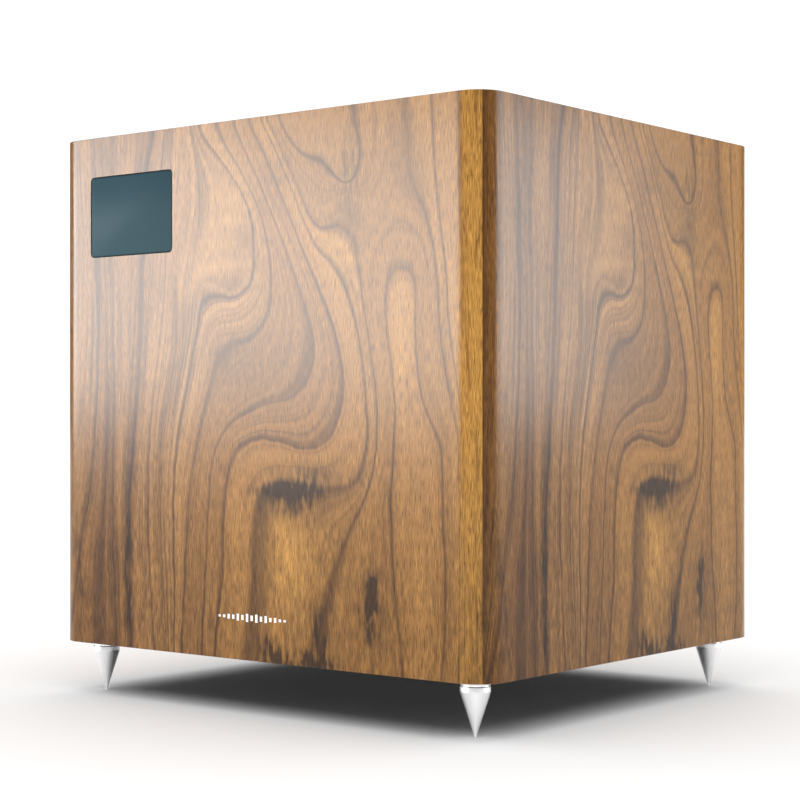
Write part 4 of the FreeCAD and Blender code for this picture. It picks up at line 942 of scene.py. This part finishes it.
TIP = 0.0006               # radius of the spike's point
COLLAR = 0.006             # height of the collar above its cone
FILLET = 0.0007            # radius of the collar's edges and of its groove
THREAD_PLAY = 0.00005      # between the bore and the stud


def arc(centre, radius, start, end, steps=6):
    """Points on an arc, its angles in degrees from the first axis."""
    angles = [math.radians(start + (end - start) * index / steps) for index in range(steps + 1)]
    return [(centre[0] + radius * math.cos(a), centre[1] + radius * math.sin(a)) for a in angles]


def make_spike(corner, material):
    """A turned spike, its edges eased, with a shallow grip groove round the collar."""
    low, high = box(f"spike_{corner}")
    stud_low, stud_high = box(f"stud_{corner}")
    centre, radius = (low + high) / 2, (high.x - low.x) / 2
    bore = (stud_high.x - stud_low.x) / 2 + THREAD_PLAY
    shoulder = high.z - COLLAR
    waist = high.z - COLLAR / 2
    bore_end = stud_low.z - THREAD_PLAY
    outline = [(0, low.z)]
    outline += arc((0, low.z + TIP), TIP, -75, -20)                    # the point
    outline += [(radius - FILLET / 2, shoulder - 2 * FILLET)]          # the cone
    outline += arc((radius - FILLET, shoulder), FILLET, -12, 0, 3)     # the collar's lower edge
    outline += arc((radius + FILLET / 3, waist), FILLET, 240, 120)     # the groove
    outline += arc((radius - FILLET, high.z - FILLET), FILLET, 0, 90)  # the collar's upper edge
    outline += [(bore, high.z), (bore, bore_end), (0, bore_end)]       # the bore that the stud is in
    piece = lathe(f"foot_spike_{corner}", outline, centre, material, 96)
    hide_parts(f"spike_{corner}")
    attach(piece, f"spike_{corner}")


# ---------------------------------------------------------------- driver

SECTORS = 16               # sectors of each flexing ring
SECTOR_SIDES = 10          # and flats along each sector
ROLL_SKIN = 0.0009
ROLL_RADIUS = 0.00575
ROLL_STEPS = 22
CONE_LAP = 3 * ROLL_SKIN   # how far the inner lip laps the cone
CLOTH_SKIN = 0.0005
SPIDER_WAVES = 6
WAVE_STEPS = 10


def ribbon(line, thickness):
    """The closed outline of a strip of even thickness along a line of (radius, height) points."""
    upper, lower = [], []
    for index, (radius, height) in enumerate(line):
        before, after = line[max(index - 1, 0)], line[min(index + 1, len(line) - 1)]
        along = Vector((after[0] - before[0], after[1] - before[1])).normalized()
        across = Vector((-along.y, along.x)) * thickness / 2
        upper.append((radius + across.x, height + across.y))
        lower.append((radius - across.x, height - across.y))
    return upper + lower[::-1]


def flexing_ring(node, line, thickness, material):
    """A ring between an outer edge and an inner one, in sectors that each sweep the same profile round the
    upright axis.
    """
    for index in range(SECTORS):
        start = math.tau * index / SECTORS
        piece = lathe(f"{node}_{index + 1:02d}", ribbon(line, thickness), (0, 0), material,
                      SECTOR_SIDES, start, math.tau / SECTORS)
        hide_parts(node)
        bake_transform(piece)


def make_surround(material):
    """The half roll between the basket's rim and the cone, with its two glued lips."""
    low, high = box("surround")
    cone_edge = box("cone")[1].x
    middle = cone_edge + ROLL_RADIUS - ROLL_SKIN / 2
    lip = high.z - ROLL_SKIN / 2
    drop = lip - low.z - ROLL_SKIN / 2
    line = [(high.x - ROLL_SKIN / 2, lip), (middle + ROLL_RADIUS + FILLET, lip)]
    for index in range(ROLL_STEPS + 1):
        angle = math.pi * index / ROLL_STEPS
        line.append((middle + ROLL_RADIUS * math.cos(angle), lip - drop * math.sin(angle)))
    line += [(middle - ROLL_RADIUS - FILLET, lip), (cone_edge - CONE_LAP, lip)]
    flexing_ring("surround", line, ROLL_SKIN, material)


def make_spider(material):
    """The corrugated cloth that centres the voice coil."""
    low, high = box("spider")
    former = box("coil_former")[1].x
    start, end = high.x - CLOTH_SKIN, former + CLOTH_SKIN
    level = (low.z + high.z) / 2
    swing = (high.z - low.z) / 2 - CLOTH_SKIN
    steps = SPIDER_WAVES * WAVE_STEPS
    line = []
    for index in range(steps + 1):
        share = index / steps
        ease = min(1, SPIDER_WAVES * share, SPIDER_WAVES * (1 - share))
        line.append((start + (end - start) * share,
                     level + swing * ease * math.sin(math.tau * SPIDER_WAVES * share)))
    flexing_ring("spider", line, CLOTH_SKIN, material)


# ---------------------------------------------------------------- display, prints and wadding

PRINT = 0.00008            # thickness of a print
FRAME_LINE = 0.0004
FRAME_ROUND = 0.003
CONTROL_GROUPS = {         # middle (x, z), then half width and half height
    "inputs": (0.050, 0.265, 0.031, 0.011),
    "switches": (0.0575, 0.235, 0.0235, 0.010),
    "buttons": (-0.056, 0.265, 0.026, 0.011),
    "mains": (-0.040, 0.1588, 0.040, 0.0245),
}
ARROW = [(-0.0016, -0.0009), (0.0016, -0.0009), (0, 0.0014)]
DOT = 0.0011
MARK_HALF = 0.0014         # half height of the rocker's marks
MARK_LINE = 0.0005


def make_lens(material):
    """The display's window, its front edge bevelled."""
    low, high = box("display_window")
    middle, half = (low + high) / 2, (high - low) / 2
    loops = []
    for inset, y in ((EASED, low.y), (EASED / 3, low.y + EASED / 3), (0, low.y + EASED), (0, high.y)):
        ring = rounded_outline(half.x - inset, half.z - inset, LENS_ROUND - inset, CORNER_STEPS, 0.01)
        loops.append(upright_ring(middle, y, ring))
    piece = loft("display_lens", loops, material, closed=False)
    smooth_by_angle(piece, 50)
    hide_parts("display_window")
    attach(piece, "cabinet")


def surface_at(node, x, z):
    """Where a CAD node's rear-facing surface is, and which way it faces."""
    found, at, facing, _ = frame["nodes"][node].ray_cast(Vector((x, 1, z)), Vector((0, -1, 0)))
    if not found:
        raise ValueError(f"{node} has no surface at {x}, {z}")
    return at, facing


def print_on(name, node, x, z, outer, inner, body, material):
    """A thin print on a rear-facing surface: an outline in (right, up) metres, with a hole or without."""
    at, facing = surface_at(node, x, z)
    right = Vector((0, 0, 1)).cross(facing).normalized()
    up = facing.cross(right)

    def ring(points, lift):
        return [at + right * across + up * rise + facing * lift for across, rise in points]
    loops = [ring(outer, 0), ring(outer, PRINT)]
    if inner:
        loops += [ring(inner, PRINT), ring(inner, 0)]
    piece = loft(name, loops, material, closed=bool(inner))
    smooth_by_angle(piece)
    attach(piece, body)


def frame_print(name, x, z, half_wide, half_tall, material):
    """A plain rounded frame round a group of controls, printed on the amplifier's plate.

    The plate is met under the frame's side, because the middle may be an opening.
    """
    outer = rounded_outline(half_wide, half_tall, FRAME_ROUND, CORNER_STEPS, UNSPLIT)
    inner = rounded_outline(half_wide - FRAME_LINE, half_tall - FRAME_LINE, FRAME_ROUND - FRAME_LINE,
                            CORNER_STEPS, UNSPLIT)
    aside = half_wide - FRAME_LINE / 2
    outer, inner = ([(across + aside, up) for across, up in ring] for ring in (outer, inner))
    print_on(name, "amp_plate", x + aside, z, outer, inner, "cabinet", material)


def circle(radius, points):
    """Points evenly round a circle."""
    step = 360 / points
    return arc((0, 0), radius, 0, 360 - step, points - 1)


def middle_of(node):
    """The x and z of a CAD node's middle."""
    low, high = box(node)
    return (low.x + high.x) / 2, (low.z + high.z) / 2


def make_prints(material):
    """Plain frames round the groups of controls, arrows, a dot, and the rocker's two marks."""
    for group, (x, z, half_wide, half_tall) in CONTROL_GROUPS.items():
        frame_print(f"print_frame_{group}", x, z, half_wide, half_tall, material)
    marks = {
        "down": [(-across, -up) for across, up in ARROW],
        "up": ARROW,
        "enter": circle(DOT, 24),
    }
    for name, points in marks.items():
        button = f"button_{name}"
        print_on(f"print_{name}", button, *middle_of(button), points, None, button, material)
    x, z = middle_of("mains_rocker")
    low, high = box("mains_rocker")
    quarter = (high.z - low.z) / 4
    rim, hole = circle(MARK_HALF, 36), circle(MARK_HALF - MARK_LINE, 36)
    bar = rounded_outline(MARK_LINE / 2, MARK_HALF, MARK_LINE / 4, 2, UNSPLIT)
    print_on("print_on_mark", "mains_rocker", x, z + quarter, bar, None, "mains_rocker", material)
    print_on("print_off_mark", "mains_rocker", x, z - quarter, rim, hole, "mains_rocker", material)


def islands(node):
    """The box of each separate solid in a CAD node."""
    mesh = bmesh.new()
    mesh.from_mesh(frame["nodes"][node].data)
    bmesh.ops.remove_doubles(mesh, verts=mesh.verts, dist=CAD_POINT)
    left = set(mesh.verts)
    boxes = []
    while left:
        group, fresh = set(), [left.pop()]
        while fresh:
            vertex = fresh.pop()
            group.add(vertex.index)
            for edge in vertex.link_edges:
                other = edge.other_vert(vertex)
                if other in left:
                    left.remove(other)
                    fresh.append(other)
        mesh.verts.ensure_lookup_table()
        points = [mesh.verts[index].co for index in group]
        boxes.append(tuple(Vector(pick(p[axis] for p in points) for axis in range(3)) for pick in (min, max)))
    mesh.free()
    return sorted(boxes, key=lambda corners: tuple(corners[0]))


PAD_CUTS = 22              # cuts along each edge of a pad's block
PAD_RIM = 0.30             # a pad's thickness at its rim, as a share of its middle
PAD_SQUARE = 8             # the higher, the later a pad thins towards its rim
PAD_LUMP, PAD_LUMP_SCALE = 0.20, 3.1
PAD_EDGE, PAD_WAVER, PAD_WAVER_SCALE = 0.965, 0.03, 9.7


def pad_point(share, thin, seed):
    """Where a point of a plain block, as shares of its half sizes, goes on a lumpy crowned pad."""
    wide = [axis for axis in range(3) if axis != thin]
    crown = math.prod(1 - abs(share[axis]) ** PAD_SQUARE for axis in wide)
    lump = 1 - PAD_LUMP + PAD_LUMP * noise.noise(share * PAD_LUMP_SCALE + Vector((seed, 0, 0)))
    moved = share.copy()
    moved[thin] *= (PAD_RIM + (1 - PAD_RIM) * crown) * lump
    for axis in wide:
        moved[axis] *= PAD_EDGE + PAD_WAVER * noise.noise(share * PAD_WAVER_SCALE)
    return moved


def make_wadding(material):
    """Lumpy fibre pads that fill the boxes of the CAD's plain ones."""
    for index, (low, high) in enumerate(islands("damping_wadding"), start=1):
        middle, half = (low + high) / 2, (high - low) / 2
        thin = min(range(3), key=lambda axis: half[axis])
        made = bmesh.new()
        bmesh.ops.create_cube(made, size=2)
        bmesh.ops.subdivide_edges(made, edges=made.edges, cuts=PAD_CUTS, use_grid_fill=True)
        made.verts.index_update()
        for vertex in made.verts:
            vertex.co = middle + pad_point(vertex.co, thin, index) * half
        faces = [[vertex.index for vertex in face.verts] for face in made.faces]
        piece = new_piece(f"wadding_pad_{index}", [vertex.co for vertex in made.verts], faces,
                          material)
        made.free()
        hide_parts("damping_wadding")
        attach(piece, "cabinet")


# ---------------------------------------------------------------- stage and light

FLOOR_ALBEDO = 0.93
FLOOR_SIZE = 30
BACKDROP = 1.1             # brightness of the surroundings, as the camera sees them
FILL = 0.20                # and as they light the object
OVERHEAD = 3.2
OVERHEAD_SPREAD = 110      # degrees
UNDERSIDE = 1.3            # a fill that reaches the driver through the floor
UNDERSIDE_SPREAD = 60      # degrees
BOX_FOOT, BOX_HEAD = 0.16, 0.72
# Each softbox: where its foot starts and ends on the floor, then its radiance.
LEFT_BOX = ((-1.09, -2.20), (-2.40, -0.97), 19.0)
RIGHT_BOX = ((2.02, 0.65), (1.42, 2.02), 10.0)


def make_camera():
    data = bpy.data.cameras.new("camera")
    data.lens = LENS
    data.shift_x, data.shift_y = CAMERA_SHIFT
    data.clip_start = 0.01
    camera = bpy.data.objects.new("camera", data)
    camera.location = CAMERA_AT
    camera.rotation_euler = (math.radians(90), 0, CAMERA_TURN)
    bpy.context.scene.collection.objects.link(camera)
    bpy.context.scene.camera = camera


def add_light(name, kind, at, towards):
    data = bpy.data.lights.new(name, kind)
    light = bpy.data.objects.new(name, data)
    light.location = at
    light.rotation_euler = (Vector(towards) - Vector(at)).to_track_quat("-Z", "Y").to_euler()
    light.visible_camera = False
    bpy.context.scene.collection.objects.link(light)
    return light


def add_sun(name, height, strength, spread):
    """A wide soft sun, which shines down on the object from above or up from below."""
    light = add_light(name, "SUN", (0, 0, height), (0, 0, 0))
    light.data.energy = strength
    light.data.angle = math.radians(spread)
    return light


def softbox(name, start, end, radiance, off_floor):
    """An upright light panel over a line on the floor, flagged off from the floor, facing the object."""
    start, end = Vector(start), Vector(end)
    middle, run = (start + end) / 2, end - start
    inward = Vector((-run.y, run.x)).normalized()
    if inward.dot(middle) > 0:
        inward = -inward
    level = (BOX_FOOT + BOX_HEAD) / 2
    ahead = middle + inward
    light = add_light(name, "AREA", (middle.x, middle.y, level), (ahead.x, ahead.y, level))
    light.light_linking.receiver_collection = off_floor
    data = light.data
    data.shape = "RECTANGLE"
    data.size = run.length
    data.size_y = BOX_HEAD - BOX_FOOT
    data.energy = radiance * math.pi * data.size * data.size_y


def floor_paint():
    """Matt white, and open from below so that views from there reach the driver."""
    look = Look("floor", (FLOOR_ALBEDO,) * 3, 0.95, specular=0.0)
    below = look.node("NewGeometry").outputs["Backfacing"]
    look.set("Alpha", look.math("SUBTRACT", 1, below))
    return look.material


def make_floor():
    bpy.ops.mesh.primitive_plane_add(size=FLOOR_SIZE, location=(0, 0, 0))
    floor = bpy.context.object
    floor.name = "floor"
    floor.data.materials.append(floor_paint())
    return floor


def make_lights(floor):
    """A sun over everything, and a fill from below and two softboxes that leave the floor out."""
    off_floor = bpy.data.collections.new("off_floor")
    off_floor.objects.link(floor)
    off_floor.collection_objects[0].light_linking.link_state = "EXCLUDE"
    add_sun("overhead", 2, OVERHEAD, OVERHEAD_SPREAD)
    fill = add_sun("fill_from_below", -2, UNDERSIDE, UNDERSIDE_SPREAD)
    fill.light_linking.receiver_collection = off_floor
    fill.light_linking.blocker_collection = off_floor
    softbox("left_box", *LEFT_BOX, off_floor)
    softbox("right_box", *RIGHT_BOX, off_floor)


def make_surroundings():
    """White to the camera, and dimmer as a source of light."""
    world = bpy.data.worlds.new("studio")
    bpy.context.scene.world = world
    world.use_nodes = True
    tree = world.node_tree
    background = tree.nodes["Background"]
    background.inputs["Color"].default_value = (1, 1, 1, 1)
    seen = tree.nodes.new("ShaderNodeLightPath").outputs["Is Camera Ray"]
    strength = tree.nodes.new("ShaderNodeMapRange")
    strength.inputs["To Min"].default_value = FILL
    strength.inputs["To Max"].default_value = BACKDROP
    tree.links.new(seen, strength.inputs["Value"])
    tree.links.new(strength.outputs[0], background.inputs["Strength"])


# ---------------------------------------------------------------- assembly

materials = make_materials()
paint_nodes(materials)
make_camera()
make_lights(make_floor())
make_surroundings()
bpy.context.scene.view_settings.view_transform = "Standard"
make_side_leaf(materials["walnut_veneer"])
make_top_leaf(materials["walnut_veneer"])
make_lens(materials["display_glass"])
for corner in ("front_left", "front_right", "rear_left", "rear_right"):
    make_spike(corner, materials["polished_chrome"])
make_surround(materials["surround_rubber"])
make_spider(materials["spider_cloth"])
make_prints(materials["pale_print"])
make_wadding(materials["wadding"])
